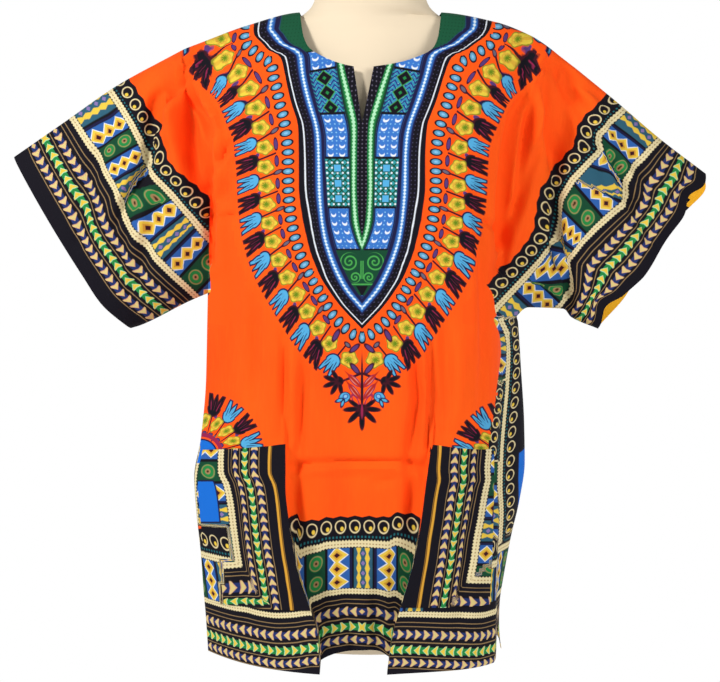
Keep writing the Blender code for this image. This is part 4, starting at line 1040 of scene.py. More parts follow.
# ---- creases of the front, in drawing columns (from the middle) and rows ----
# line, depth in metres, half-width in steps, side of the raised lip (-1, 0 or 1)
FRONT_CREASES = (
    # left sleeve: folds that spread from the shoulder, and the body's edge in front of it
    (((-178, 76), (-190, 92), (-201, 106), (-205, 124)), 0.0105, 8, -1),
    (((-176, 76), (-174, 110), (-172, 140), (-166, 170), (-160, 192)), 0.0105, 8, 1),
    (((-174, 80), (-165, 106), (-155, 122), (-151, 134)), 0.0065, 5, -1),
    (((-153, 124), (-154, 160), (-153, 190), (-151, 220), (-150, 262)), 0.0070, 5, -1),
    (((-148, 172), (-141, 159), (-131, 143)), 0.0045, 4, 1),
    (((-130, 178), (-141, 200), (-148, 215)), 0.0040, 5, 0),
    (((-146, 219), (-136, 216), (-125, 215)), 0.0028, 3, 0),
    (((-250, 118), (-262, 150), (-276, 190), (-281, 240)), 0.0045, 8, 0),
    (((-205, 200), (-214, 240), (-226, 290)), 0.0045, 7, 1),
    (((-204, 128), (-214, 160), (-236, 205), (-246, 228)), 0.0050, 5, 1),
    # right sleeve
    (((183, 68), (184, 92), (186, 131), (191, 168)), 0.0075, 6, 1),
    (((174, 84), (163, 131), (158, 164), (151, 206), (142, 240)), 0.0075, 6, -1),
    (((160, 100), (151, 114), (145, 151), (141, 195), (140, 231), (138, 268)), 0.0080, 5, -1),
    (((181, 120), (169, 164), (160, 195), (149, 222), (143, 246)), 0.0045, 5, 1),
    (((190, 64), (205, 87), (226, 118)), 0.0060, 7, -1),
    (((198, 68), (222, 88), (244, 104)), 0.0040, 5, 0),
    (((118, 217), (128, 223), (139, 231)), 0.0035, 4, 0),
    (((236, 132), (244, 150), (262, 190), (286, 238)), 0.0055, 5, 1),
    (((190, 200), (194, 236), (205, 262), (206, 320)), 0.0055, 5, 1),
    (((240, 108), (252, 130), (270, 160), (292, 196)), 0.0035, 7, 1),
    # body
    (((-78, 335), (-78, 380), (-78, 442)), 0.0030, 4, -1),
    (((-57, 352), (-60, 400), (-63, 442), (-67, 468)), 0.0060, 6, 0),
    (((-106, 300), (-107, 350), (-106, 400)), 0.0030, 6, 0),
    (((-128, 250), (-131, 320), (-130, 380)), 0.0025, 8, 0),
    (((54, 345), (57, 400), (50, 440), (46, 466)), 0.0060, 6, 0),
    (((69, 330), (71, 400), (69, 446)), 0.0045, 5, 1),
    (((82, 320), (86, 380), (86, 430)), 0.0045, 8, 0),
    (((113, 190), (118, 250), (121, 300), (122, 360), (118, 420)), 0.0030, 5, 1),
    (((-74, 466), (-50, 464), (0, 463), (48, 463), (62, 466)), 0.0032, 3.5, 1),
    (((-74, 474), (-66, 470), (-54, 464)), 0.0035, 4, 0),
    (((46, 464), (56, 469), (66, 474)), 0.0035, 4, 0),
    (((-66, 474), (-68, 500), (-66, 530)), 0.0045, 7, 0),
    (((50, 474), (51, 500), (49, 530)), 0.0045, 7, 0),
    (((10, 484), (22, 482), (34, 481)), 0.0014, 3, 0),
    (((-20, 590), (-16, 620), (-14, 655)), 0.0030, 7, 0),
    (((14, 586), (15, 620), (17, 650)), 0.0030, 7, 0),
    (((-130, 480), (-126, 540), (-116, 630)), 0.0030, 8, 0),
    (((112, 490), (104, 560), (98, 640)), 0.0030, 8, 0),
)
# creases of the back, laid out the same way as seen from behind (columns count to its right)
BACK_CREASES = (
    (((-60, 120), (-66, 250), (-60, 400), (-64, 640)), 0.0040, 9, 0),
    (((52, 150), (60, 300), (54, 450), (58, 640)), 0.0045, 9, 0),
    (((-150, 120), (-158, 180), (-166, 250), (-172, 300)), 0.0040, 7, 1),
    (((158, 110), (150, 180), (160, 250), (170, 300)), 0.0040, 7, -1),
    (((-240, 110), (-236, 170), (-228, 240), (-214, 300)), 0.0040, 8, 0),
    (((236, 112), (246, 170), (240, 230), (222, 300)), 0.0045, 8, 0),
    (((-110, 330), (-102, 420), (-108, 520), (-104, 640)), 0.0035, 8, 0),
    (((112, 320), (104, 430), (108, 520), (100, 640)), 0.0035, 8, 0),
    (((-30, 462), (10, 466), (44, 462)), 0.0015, 4, 1),
)
CREASE_DEPTH = 1.9           # all creases are this much deeper than in the tables
CREASE_ENDS = (0.06, 0.94)   # shares of a crease's length beyond which it fades no further
LIP_PLACE, LIP_WIDTH, LIP_SHARE = 1.7, 1.1, 0.5    # the raised lip, in half-widths and depths
FLAT_COLUMN = 198.0          # beyond it a sleeve is flat, and its creases sink no more than this
FLAT_DEPTH = 0.0065
SEAM_FADE = 0.030            # metres over which creases fade before a seam


def add_creases(points, normals, table, column, row, hold):
    """Move points along their normals into the table's creases; hold is 0 where they must stay."""
    places = np.stack([column, row], axis=1)
    move = np.zeros(len(points))
    for line, depth, width, lip in table:
        along, off = on_line(line, places)
        ends = np.array(line, dtype=float)
        length = np.sum(np.linalg.norm(np.diff(ends, axis=0), axis=1))
        share = np.clip(along / length, 0, 1)
        fade = np.sin(np.pi * np.clip(share, *CREASE_ENDS)) ** 0.5
        near = np.exp(-(off / width) ** 2)
        move -= CREASE_DEPTH * depth * fade * near
        if lip:
            raised = np.exp(-((off * lip - LIP_PLACE * width) / (LIP_WIDTH * width)) ** 2)
            move += LIP_SHARE * CREASE_DEPTH * depth * fade * raised
    deepest = np.where(np.abs(column) > FLAT_COLUMN, FLAT_DEPTH, 1.0)
    move = np.maximum(move, -deepest)
    return points + normals * (move * hold)[:, None]


# places at the right sleeve's hem where the front layer is drawn back and shows the layer behind
TUCKS = ((330, 199, 13), (246, 309, 14))
TUCK_MOVE = (-0.0095, 0.0072)    # x and z
TUCK_COLUMN = 200.0          # only beyond this column


def tuck_hems(points, column, row):
    """Draw the right sleeve's front hem back in two places."""
    for centre_column, centre_row, reach in TUCKS:
        away = np.hypot(column - centre_column, row - centre_row)
        weight = np.exp(-(away / reach) ** 2) * (column > TUCK_COLUMN)
        points = points + weight[:, None] * np.array([TUCK_MOVE[0], 0.0, TUCK_MOVE[1]])
    return points


def lower_middle(points, sheet):
    """Let the middle panel's ends hang lower, so that its border arches."""
    row = drawing_place(sheet.points)[1]
    drop = panel_value("droop", sheet.across / STEP, row) * STEP * ramp(row, *DROOP_ROWS)
    return points - drop[:, None] * np.array([0.0, 0.0, 1.0])


def shell(name, points, normals, faces, zones, maps, materials, inner_zones):
    """A closed thin piece from one surface: outer side, inner side and rim, with UV maps.

    faces index points; zones and inner_zones name the material of each face's two sides; maps gives
    each map's place per point.
    """
    used = np.unique(np.concatenate([np.array(face) for face in faces]))
    order = np.full(len(points), -1)
    order[used] = np.arange(len(used))
    outer = points[used]
    inner = outer - normals[used] * SHELL
    count = len(used)
    corners = [[int(order[index]) for index in face] for face in faces]
    names = list(materials)
    edge_slot = {}
    for face, zone in zip(corners, zones):
        for edge in zip(face, face[1:] + face[:1]):
            edge_slot[edge] = names.index(zone)
    rim = [edge for edge in edge_slot if edge[::-1] not in edge_slot]
    every = corners + [[count + index for index in face[::-1]] for face in corners]
    every += [[end, start, count + start, count + end] for start, end in rim]
    mesh = bpy.data.meshes.new(name)
    mesh.from_pydata(np.concatenate([outer, inner]).tolist(), [], every)
    mesh.update()
    for material in materials.values():
        mesh.materials.append(material)
    slots = [names.index(zone) for zone in zones + inner_zones] + [edge_slot[edge] for edge in rim]
    mesh.polygons.foreach_set("material_index", slots)
    mesh.shade_smooth()
    vertex = np.zeros(len(mesh.loops), dtype=np.int32)
    mesh.loops.foreach_get("vertex_index", vertex)
    layer = vertex >= count
    source = used[np.where(layer, vertex - count, vertex)]
    for map_name, values in maps.items():
        uv = values[source].copy()
        if map_name == "OFBake":
            upper = BAKE_SPLIT + 0.01
            uv[:, 1] = np.where(layer, uv[:, 1] * BAKE_SPLIT, upper + uv[:, 1] * (1 - upper))
        made = mesh.uv_layers.new(name=map_name)
        made.data.foreach_set("uv", uv.astype(np.float32).ravel())
    mesh.set_sharp_from_angle(angle=math.radians(CLOTH_SHARP))
    return add_object(name, mesh)

# ---- drawing with shader nodes ----
SOFT = 0.7                   # width of a drawn edge, in steps
INK_DEPTH = 0.80             # the inks' share of their colour on paper
INK = {
    "black": "100d18", "navy": "1b1a44", "dark_blue": "22346c", "blue": "2f62ae", "mid_blue": "3a78cc",
    "light_blue": "8cc4ea", "steel": "64a4c8", "sky": "56b0e2", "bright_blue": "1672dc",
    "teal": "20707a", "slate": "2f6076", "sea": "2f9aa0", "green": "238a44", "dark_green": "124a30",
    "collar_green": "17573a", "leaf_green": "4aa850", "pale_green": "b4ecc0", "olive": "8c8a24",
    "yellow": "f2cc48", "gold": "e0a438", "cream": "f0e0ae", "white": "eef4fc", "peach": "e8b088",
    "tan": "a8895c", "lilac": "8c78b4", "purple": "5a3a7a", "magenta": "9c2450", "maroon": "401020",
    "pink": "e88878", "red": "b82818", "grey": "6a6478", "flower_yellow": "eed042", "moss": "6c8a18",
    "dusk": "4c4a68", "straw": "e2cc84", "ivory": "f5e2c4", "brown": "4a2a14",
}
GROUND = {
    "orange": (0.93, 0.082, 0.003), "deep_orange": (0.88, 0.050, 0.002),
    "light_orange": (0.95, 0.110, 0.004), "inside": (0.90, 0.46, 0.02), "inside_deep": (0.88, 0.34, 0.012),
}
ROUGHNESS = 0.85
SPECULAR = 0.15
# noise scale and detail of the cloudy shades, of the streaks along the threads, of weave and of wrinkles
PALE_CLOUDS = ((16.0, 16.0, 6.0), 3.0)
DEEP_CLOUDS = ((13.0, 13.0, 5.0), 2.0)
STREAKS = ((420.0, 420.0, 30.0), 2.0)
WEAVE = ((1500.0, 1500.0, 1500.0), 1.0)
WRINKLES = ((30.0, 30.0, 11.0), 3.0)
WEAVE_HEIGHT = 0.00012
WRINKLE_HEIGHT = 0.0034
BUMP_STRENGTH = 0.6


def ink(name):
    """Linear colour of an ink or of the ground cloth."""
    if name in GROUND:
        return (*GROUND[name], 1.0)
    parts = [int(INK[name][k:k + 2], 16) / 255 for k in (0, 2, 4)]
    linear = [((c + 0.055) / 1.055) ** 2.4 if c > 0.04 else c / 12.92 for c in parts]
    return (*(part * INK_DEPTH for part in linear), 1.0)


class Number:
    """A number that a material works out at each point."""

    def __init__(self, tree, socket):
        self.tree = tree
        self.socket = socket

    def math(self, kind, *others, clamp=False):
        """A maths node on this number and others."""
        node = self.tree.nodes.new("ShaderNodeMath")
        node.operation = kind
        node.use_clamp = clamp
        for slot, value in enumerate((self, *others)):
            if isinstance(value, Number):
                self.tree.links.new(value.socket, node.inputs[slot])
            else:
                node.inputs[slot].default_value = value
        return Number(self.tree, node.outputs[0])

    def __add__(self, other):
        return self.math("ADD", other)

    def __sub__(self, other):
        return self.math("SUBTRACT", other)

    def __mul__(self, other):
        return self.math("MULTIPLY", other)

    def size(self):
        """The number without its sign."""
        return self.math("ABSOLUTE")

    def wrap(self, period, shift=0.0):
        """Signed distance from the nearest of evenly spaced marks."""
        moved = self - shift if shift else self
        return moved.math("WRAP", period / 2, -period / 2)

    def fold(self, period, shift=0.0):
        """Distance from the nearest of evenly spaced marks."""
        moved = self - shift if shift else self
        return moved.math("PINGPONG", period / 2)

    def under(self, edge, soft=SOFT):
        """1 where the number is below the edge, 0 above it."""
        return self.math("MULTIPLY_ADD", -1.0 / soft, edge / soft + 0.5, clamp=True)

    def over(self, edge, soft=SOFT):
        """1 where the number is above the edge."""
        return self.math("MULTIPLY_ADD", 1.0 / soft, 0.5 - edge / soft, clamp=True)

    def near(self, centre, half, soft=SOFT):
        """1 within half of the centre."""
        return (self - centre).size().under(half, soft)

    def least(self, other):
        """The smaller of two numbers."""
        return self.math("MINIMUM", other)

    def most(self, other):
        """The larger of two numbers."""
        return self.math("MAXIMUM", other)


def apart(x, y, centre_x=0.0, centre_y=0.0, stretch=1.0):
    """Distance from a centre, with y counted stretch times."""
    dx = x - centre_x if centre_x else x
    dy = (y - centre_y) * stretch
    return (dx * dx + dy * dy).math("SQRT")


def turned(x, y, centre_x, centre_y, degrees):
    """Places from a centre along an axis at an angle, and across it."""
    cos, sin = math.cos(math.radians(degrees)), math.sin(math.radians(degrees))
    along = x * cos + (y * sin) - (centre_x * cos + centre_y * sin)
    across = y * cos - (x * sin) - (centre_y * cos - centre_x * sin)
    return along, across


class Cloth:
    """A cloth material: woven ground, with inks laid over it one after another."""

    def __init__(self, name, ground="orange", low="deep_orange", high="light_orange"):
        self.material = bpy.data.materials.new(name)
        self.material.use_nodes = True
        self.tree = self.material.node_tree
        self.shader = self.tree.nodes["Principled BSDF"]
        self.shader.inputs["Roughness"].default_value = ROUGHNESS
        self.shader.inputs["Specular IOR Level"].default_value = SPECULAR
        self.place = self.new("ShaderNodeTexCoord").outputs["Object"]
        self.only = None
        start = self.new("ShaderNodeRGB")
        start.outputs[0].default_value = ink(ground)
        self.colour = start.outputs[0]
        self.lay(self.noise(*PALE_CLOUDS).over(0.50, 0.35) * 0.55, high)
        self.lay(self.noise(*DEEP_CLOUDS).under(0.44, 0.30) * 0.45, low)
        self.lay(self.noise(*STREAKS).over(0.58, 0.25) * 0.22, high)

    def new(self, kind):
        """A new node."""
        return self.tree.nodes.new(kind)

    def noise(self, scale, detail):
        """Smooth noise in the piece's own frame, 0 to 1."""
        mapping = self.new("ShaderNodeMapping")
        mapping.inputs["Scale"].default_value = scale
        self.tree.links.new(self.place, mapping.inputs["Vector"])
        texture = self.new("ShaderNodeTexNoise")
        texture.inputs["Scale"].default_value = 1.0
        texture.inputs["Detail"].default_value = detail
        self.tree.links.new(mapping.outputs[0], texture.inputs["Vector"])
        return Number(self.tree, texture.outputs[0])

    def lay(self, mask, name):
        """Lay an ink over the drawing where the mask is 1, only inside self.only if that is set."""
        mask = mask if self.only is None else mask * self.only
        node = self.new("ShaderNodeMix")
        node.data_type = "RGBA"
        self.tree.links.new(mask.socket, node.inputs[0])
        self.tree.links.new(self.colour, node.inputs[6])
        node.inputs[7].default_value = ink(name)
        self.colour = node.outputs[2]

    def lay_under(self, number, *steps):
        """Lay inks one over another, each where the number is below its own edge."""
        for edge, name in steps:
            self.lay(number.under(edge), name)

    def places(self, name):
        """The two coordinates of a UV map."""
        node = self.new("ShaderNodeUVMap")
        node.uv_map = name
        split = self.new("ShaderNodeSeparateXYZ")
        self.tree.links.new(node.outputs[0], split.inputs[0])
        return Number(self.tree, split.outputs[0]), Number(self.tree, split.outputs[1])

    def finish(self, weave=0.5, wrinkle=1.0):
        """Join the colour and the woven surface to the shader."""
        self.tree.links.new(self.colour, self.shader.inputs["Base Color"])
        height = self.noise(*WEAVE) * (WEAVE_HEIGHT * weave)
        height = height + self.noise(*WRINKLES) * (WRINKLE_HEIGHT * wrinkle)
        bump = self.new("ShaderNodeBump")
        bump.inputs["Strength"].default_value = BUMP_STRENGTH
        bump.inputs["Distance"].default_value = 1.0
        self.tree.links.new(height.socket, bump.inputs["Height"])
        self.tree.links.new(bump.outputs[0], self.shader.inputs["Normal"])
        return self.material


# ---- the print; all numbers below are steps in the print's own maps ----
RING_PITCH = 14.33           # of the rings along the upper pale band
RING_SHIFT = 7.2
RING_LEVEL = 128.6
RAGGED_TOP = 138.6           # the border's black edge, which waves with the rings
BLOCK_LEVEL = 92.25          # middle of the blocks between the pale bands
CELL_PERIOD = 86.0           # one repeat of the blocks; cells are counted from its two mirror lines
BEAD_CELL, STAR_CELL, BLOOM_CELL = 4.6, 21.7, 43.0
BEAD_PITCH, STAR_PITCH, BLOOM_PITCH = 9.0, 12.4, 18.4
TOOTH = 3.2                  # of the pale toothed bands
THIN_LINES = (15.8, 28.3, 41.6, 56.0, 60.5)
# rows of chevrons: level, way they point, their dark ink, their pale ink and the ink of their tips
CHEVRON_ROWS = ((21.8, 1.0, "dark_blue", "straw", "peach"), (35.0, -1.0, "green", "yellow", "pale_green"),
                (48.2, 1.0, "dark_blue", "straw", "peach"))
CHEVRON_PITCH = 9.0
POCKET_BLACK = 100.0         # a pocket is plain black above this level
POCKET_WINDOW = (98.5, 17.0, 501.5, 20.0)    # blue square on a pocket: level, half, row, half
WINDOW_RIM = (97.5, 17.5, 501.5, 21.5)


def draw_ring_row(cloth, level, run):
    """A row of rings on a dark strip with a ragged outer edge."""
    cloth.lay((level + (run.fold(RING_PITCH, RING_SHIFT) * 0.24)).under(RAGGED_TOP), "black")
    across = run.wrap(RING_PITCH, RING_SHIFT)
    away = apart(across, level, 0.0, RING_LEVEL)
    cloth.lay(level.near(120.5, 0.7) * run.fold(3.6).under(0.8), "teal")
    cloth.lay((away - 4.9).size().under(0.55), "tan")
    cloth.lay((away - 5.2).size().under(0.45), "cream")
    cloth.lay(apart(across, level, 1.5, 126.6).under(1.7), "yellow")


def draw_blocks(cloth, cell, level):
    """Blocks between the pale bands: twin rows of beads, star flowers, and ring flowers on green."""
    blocks = level.near(BLOCK_LEVEL, 19.0)
    cloth.lay(blocks, "black")
    cloth.only = blocks
    cloth.lay(cell.under(9.8), "slate")
    cloth.lay(cell.near(22.0, 8.6), "blue")
    cloth.lay(cell.near(40.0, 6.6), "dark_green")
    bead = level.fold(BEAD_PITCH, BLOCK_LEVEL)
    cloth.lay(((cell - BEAD_CELL).size() + bead * 0.38).under(2.7), "yellow")
    cloth.lay((cell + level.fold(BEAD_PITCH, BLOCK_LEVEL + BEAD_PITCH / 2)).under(2.3), "lilac")
    cloth.lay(cell.near(12.2, 0.7), "navy")
    star = level.fold(STAR_PITCH, BLOCK_LEVEL)
    side = (cell - STAR_CELL).size()
    cloth.lay((side + star * 0.88).under(7.7), "white")
    cloth.lay((side + star * 0.95).under(7.0), "yellow")
    cloth.lay((side * 1.1 + star).under(4.6), "gold")
    cloth.lay((side + star).under(2.5), "maroon")
    bloom = apart(cell, level.fold(BLOOM_PITCH, 83.0), BLOOM_CELL)
    cloth.lay(bloom.under(7.4), "green")
    cloth.lay((bloom - 6.4).size().under(0.4), "tan")
    cloth.lay_under(bloom, (2.8, "tan"), (1.2, "brown"))
    cloth.only = None


def draw_chevrons(cloth, level, run):
    """Thin lines and three rows of chevrons near the edge."""
    for mark in THIN_LINES:
        cloth.lay(level.near(mark, 0.35), "tan")
    for middle, way, dark, pale, tip in CHEVRON_ROWS:
        off = (level - middle).size()
        row = off.under(4.2)
        shape = (run.size() + off * (0.75 * way)).fold(CHEVRON_PITCH)
        cloth.lay(row * (shape + off * 0.4).over(2.2) * off.under(3.0), dark)
        cloth.lay(row * (shape + off * 0.45).under(2.5), pale)
        cloth.lay(row * (shape + off * 0.5).near(2.7, 0.35), tip)


def draw_border(cloth, pocket=False):
    """The wide border: rows of chevrons, blocks between two pale bands, and a row of rings."""
    across, level = cloth.places("Border")
    low_run, high_run = cloth.places("Run")
    middle, row = cloth.places("Front")
    cut, blue = cloth.places("Cut")
    if pocket:
        cloth.lay(level.over(POCKET_BLACK), "black")
    draw_ring_row(cloth, level, high_run)
    draw_blocks(cloth, across.fold(CELL_PERIOD), level)
    if not pocket:
        under_pockets = middle.size().near(101.0, 37.5) * row.over(585.0) * row.under(700.0)
        cloth.lay(level.near(77.0, 4.0) * under_pockets, "black")
    for band, run in ((PALE_LOW, low_run), (PALE_HIGH, high_run)):
        away = (level - band).size()
        cloth.lay((away + run.fold(TOOTH) * 0.7).under(3.5), "cream")
        cloth.lay(away.under(0.5) * run.fold(TOOTH, TOOTH / 2).under(0.8), "tan")
    draw_chevrons(cloth, level, low_run)
    cloth.lay(blue.over(-1.2), "navy")
    cloth.lay(blue.over(0.0), "bright_blue")
    if pocket:
        cloth.lay(level.near(0.0, 2.0), "gold")
        cloth.lay(level.near(-1.2, 0.5), "brown")
        for (at, half, at_row, half_row), name in ((WINDOW_RIM, "navy"), (POCKET_WINDOW, "bright_blue")):
            cloth.lay(level.near(at, half) * row.near(at_row, half_row), name)
    cloth.lay(cut.over(0.0), "orange")


def draw_tulip(cloth, beside, out, fill, outline, vein):
    """A tulip of three blunt petals on a round cup; beside is the distance from its axis."""
    side_petal = (beside - (out * 0.17 + 1.2)).size() + (out - 20.0).most(0.0) * 0.14
    middle_petal = beside + (out - 22.0).most(0.0) * 0.26 + 0.4
    petals = side_petal.least(middle_petal)
    reach = out.near(21.5, 8.4, 1.2)
    cup = apart(beside, out, 0.0, 15.0, 0.95)
    low = out.under(16.5)
    inner_reach = out.near(21.2, 7.2, 1.2)
    cloth.lay((petals.under(3.3) * reach).most(cup.under(8.2) * low), outline)
    cloth.lay((petals.under(1.9) * inner_reach).most(cup.under(6.7) * low), fill)
    cloth.lay(petals.under(0.45) * out.near(19.5, 6.5, 1.5), vein)


def draw_bloom(cloth, across, up):
    """A round yellow flower of five lobes, from places beside and above its middle."""
    away = apart(across, up, 0.0, 0.0, 0.88)
    lobes = (up.math("ARCTAN2", across) * 5.0 + 0.8).math("SINE")
    petals = away + lobes * 0.7
    cloth.lay_under(petals, (7.6, "olive"), (6.5, "flower_yellow"))
    cloth.lay((petals.near(3.6, 0.5) + lobes.over(0.2) * away.near(5.0, 1.3) * 0.6), "gold")
    core = apart(across, up, 0.4, 0.8)
    cloth.lay(core.under(3.4, 2.2) * (lobes.size().over(0.3) + core.under(1.4)), "moss")


def draw_lenses(cloth):
    """The inner ring of the bouquet."""
    along, out = cloth.places("Lens")
    tilted = (along + out * 0.08).fold(LENS_PITCH)
    lens_shape = (tilted * tilted * 0.0720 + out * out * 0.0230)
    cloth.lay(lens_shape.under(1.0, 0.3), "black")
    cloth.lay(lens_shape.under(0.46, 0.25), "steel")
    cloth.lay(lens_shape.under(0.08, 0.10), "light_blue")


def draw_flowers(cloth, tip=False):
    """The outer ring of the bouquet: yellow flowers, with stems, leaves and tulips between them.

    At the bouquet's tip each kind starts only beyond the tip's own group.
    """
    along, out = cloth.places("Flower")
    leaning = along + out * SHEAR
    cloth.only = leaning.over(28.0) if tip else None
    dark = leaning.wrap(TULIP_PITCH, 30.0)
    straight = along.wrap(TULIP_PITCH, 34.0).size()
    leaf = apart(straight, out, 8.2, -11.0, 2.6)
    cloth.lay_under(leaf, (6.2, "maroon"), (4.6, "purple"))
    cloth.only = leaning.over(20.0) if tip else None
    cloth.lay(out.near(1.0, 12.0) * dark.size().under(1.0), "maroon")
    cloth.lay(apart(dark, out, 5.0, 8.0).under(2.2), "purple")
    cloth.lay(apart(dark, out, -4.6, 7.0, 0.7).under(2.0), "magenta")
    draw_tulip(cloth, dark.size(), out, "black", "maroon", "magenta")
    cloth.only = leaning.over(31.0) if tip else None
    blue = leaning.wrap(TULIP_PITCH, 10.0)
    cloth.lay(out.near(0.0, 10.0) * blue.size().under(1.0), "maroon")
    leaf = apart(blue, out, 0.0, -12.0, 0.5)
    cloth.lay_under(leaf, (2.6, "maroon"), (1.6, "grey"))
    draw_tulip(cloth, blue.size(), out, "sky", "navy", "dark_blue")
    cloth.only = leaning.over(11.0) if tip else None
    draw_bloom(cloth, along.wrap(FLOWER_PITCH), out - 0.6)
    cloth.only = None


def draw_rings(cloth):
    """Both rings of the bouquet."""
    draw_lenses(cloth)
    draw_flowers(cloth)


# places in the yoke: across its bands counted inwards from its edge, and down it
BAND = 19.0                  # middle of the blue band
LADDER = 38.0                # middle of the ladder
GREEN_LINE = 55.0            # middle of the green line along the opening
ZIGZAG_PANEL = (93.0, 21.0)  # middle and half of its length
DOTTED_PANEL = (182.8, 24.5)
BIRD_PANELS = ((136.0, 21.5), (229.0, 20.5), (62.0, 9.5))
LADDER_BARS = (52.0, 72.0, 114.0, 158.0, 207.5, 250.0)
# scrolls: column, row, radius and pitch of the coil
SCROLLS = ((12.5, 262.0, 9.4, 4.4), (7.0, 277.5, 5.6, 3.4))


def draw_ladder(cloth, inward, down):
    """The ladder beside the opening: birds, diamonds, dotted panels and bars."""
    ladder = inward.near(LADDER, 11.6)
    off = (inward - LADDER).size()
    cloth.lay(ladder, "mid_blue")
    cloth.only = ladder
    cloth.lay((down.fold(4.2, 120.0) + inward.fold(4.2)).under(0.9), "light_blue")
    cloth.lay(off.over(10.2), "navy")
    cloth.only = ladder * down.near(*ZIGZAG_PANEL)
    wave = (down + inward.fold(7.0) * 1.2).fold(4.4)
    cloth.lay(wave.under(0.8), "dark_blue")
    cloth.lay(wave.over(1.5), "sea")
    diamond = off * 1.1 + down.fold(14.0, 80.5)
    cloth.lay_under(diamond, (8.0, "leaf_green"), (7.0, "black"), (1.9, "green"))
    cloth.only = None
    dotted = ladder * down.near(*DOTTED_PANEL)
    cloth.lay(dotted, "sea")
    cloth.only = dotted
    cloth.lay((inward.fold(7.0, 34.5) + down.fold(7.0, 180.0)).near(3.5, 0.9), "dark_green")
    cloth.lay(apart(inward.fold(5.2, LADDER), down.fold(5.2, 183.5)).under(1.0), "white")
    square = off.most(down.fold(15.3, 183.5))
    cloth.lay_under(square, (4.4, "dark_green"), (3.4, "sky"))
    first, second, third = (down.near(*panel) for panel in BIRD_PANELS)
    cloth.only = ladder * first.most(second).most(third)
    bird_x, bird_y = inward.wrap(11.0, 32.0), down.wrap(8.6, 120.0)
    crescent = apart(bird_x, bird_y).under(2.7) * apart(bird_x, bird_y, 0.0, -1.9).over(2.4)
    cloth.lay(apart(bird_x, bird_y).under(3.6), "mid_blue")
    cloth.lay(crescent, "white")
    cloth.only = ladder
    for mark in LADDER_BARS:
        cloth.lay(down.near(mark, 1.2), "black")
    cloth.only = None


def draw_scrolls(cloth, inward, half, row):
    """Two pairs of scrolls on dark green in the yoke's point."""
    point = row.near(273.0, 22.5) * inward.over(26.0) * inward.under(90.0)
    cloth.lay(point, "dark_green")
    for centre, height, reach, pitch in SCROLLS:
        away = apart(half, row, centre, height)
        turn = (row - height).math("ARCTAN2", half - centre)
        coil = (away + turn * (pitch / (2 * math.pi))).fold(pitch)
        cloth.lay(point * away.under(reach) * coil.under(0.75), "leaf_green")
    cloth.lay(point * half.near(1.0, 0.6) * row.near(270.0, 9.0), "leaf_green")
    cloth.lay(point * row.near(284.5, 0.7), "leaf_green")
    cloth.lay(point * row.near(291.0, 5.0) * (half + (row - 286.0) * 0.55).under(6.0), "black")


def draw_opening(cloth, inward, down, half, row):
    """The bead line along the opening, and the dark strip inside it."""
    opening = down.over(53.0)
    cloth.lay(inward.near(GREEN_LINE, 4.6, 2.0) * opening * row.under(300.0), "dark_green")
    cloth.lay(inward.near(GREEN_LINE, 2.9, 1.2) * opening, "green")
    cloth.lay(((inward - GREEN_LINE).size() + down.fold(3.5) * 0.7).under(2.0) * opening, "pale_green")
    strip = inward.over(58.5) * down.over(60.0)
    cloth.lay(strip, "black")
    cloth.lay(strip * (half.fold(4.0) + down.fold(4.0)).under(0.8), "grey")


def draw_yoke(cloth):
    """The yoke round the neck and its opening, down to a point."""
    inward, down = cloth.places("Yoke")
    middle, row = cloth.places("Front")
    half = middle.size()
    inside = inward.over(0.0)
    cloth.lay(inside, "black")
    cloth.lay(inward.near(10.5, 2.6) * (down.fold(4.2) + inward.fold(4.0, 0.5)).under(0.7), "dusk")
    cloth.lay(inward.near(18.5, 5.0), "navy")
    cloth.lay(inward.near(BAND, 3.6, 1.2), "blue")
    cloth.lay(inward.near(BAND, 2.2, 1.0), "mid_blue")
    cloth.lay(inward.near(25.0, 1.6) * inside, "navy")
    draw_ladder(cloth, inward, down)
    collar = inside * inward.over(26.5) * down.under(52.0)
    cloth.lay(collar, "collar_green")
    cloth.lay(collar * (half.fold(3.4) + down.fold(3.4)).under(0.8), "dark_green")
    draw_scrolls(cloth, inward, half, row)
    draw_opening(cloth, inward, down, half, row)
    cloth.lay(((inward - BAND).size() + down.fold(3.4) * 0.7).under(1.9), "light_blue")
    cloth.lay(((inward - BAND).size() + down.fold(3.4) * 0.8).under(1.3), "white")
    cloth.lay(inward.near(5.0, 0.65), "white")


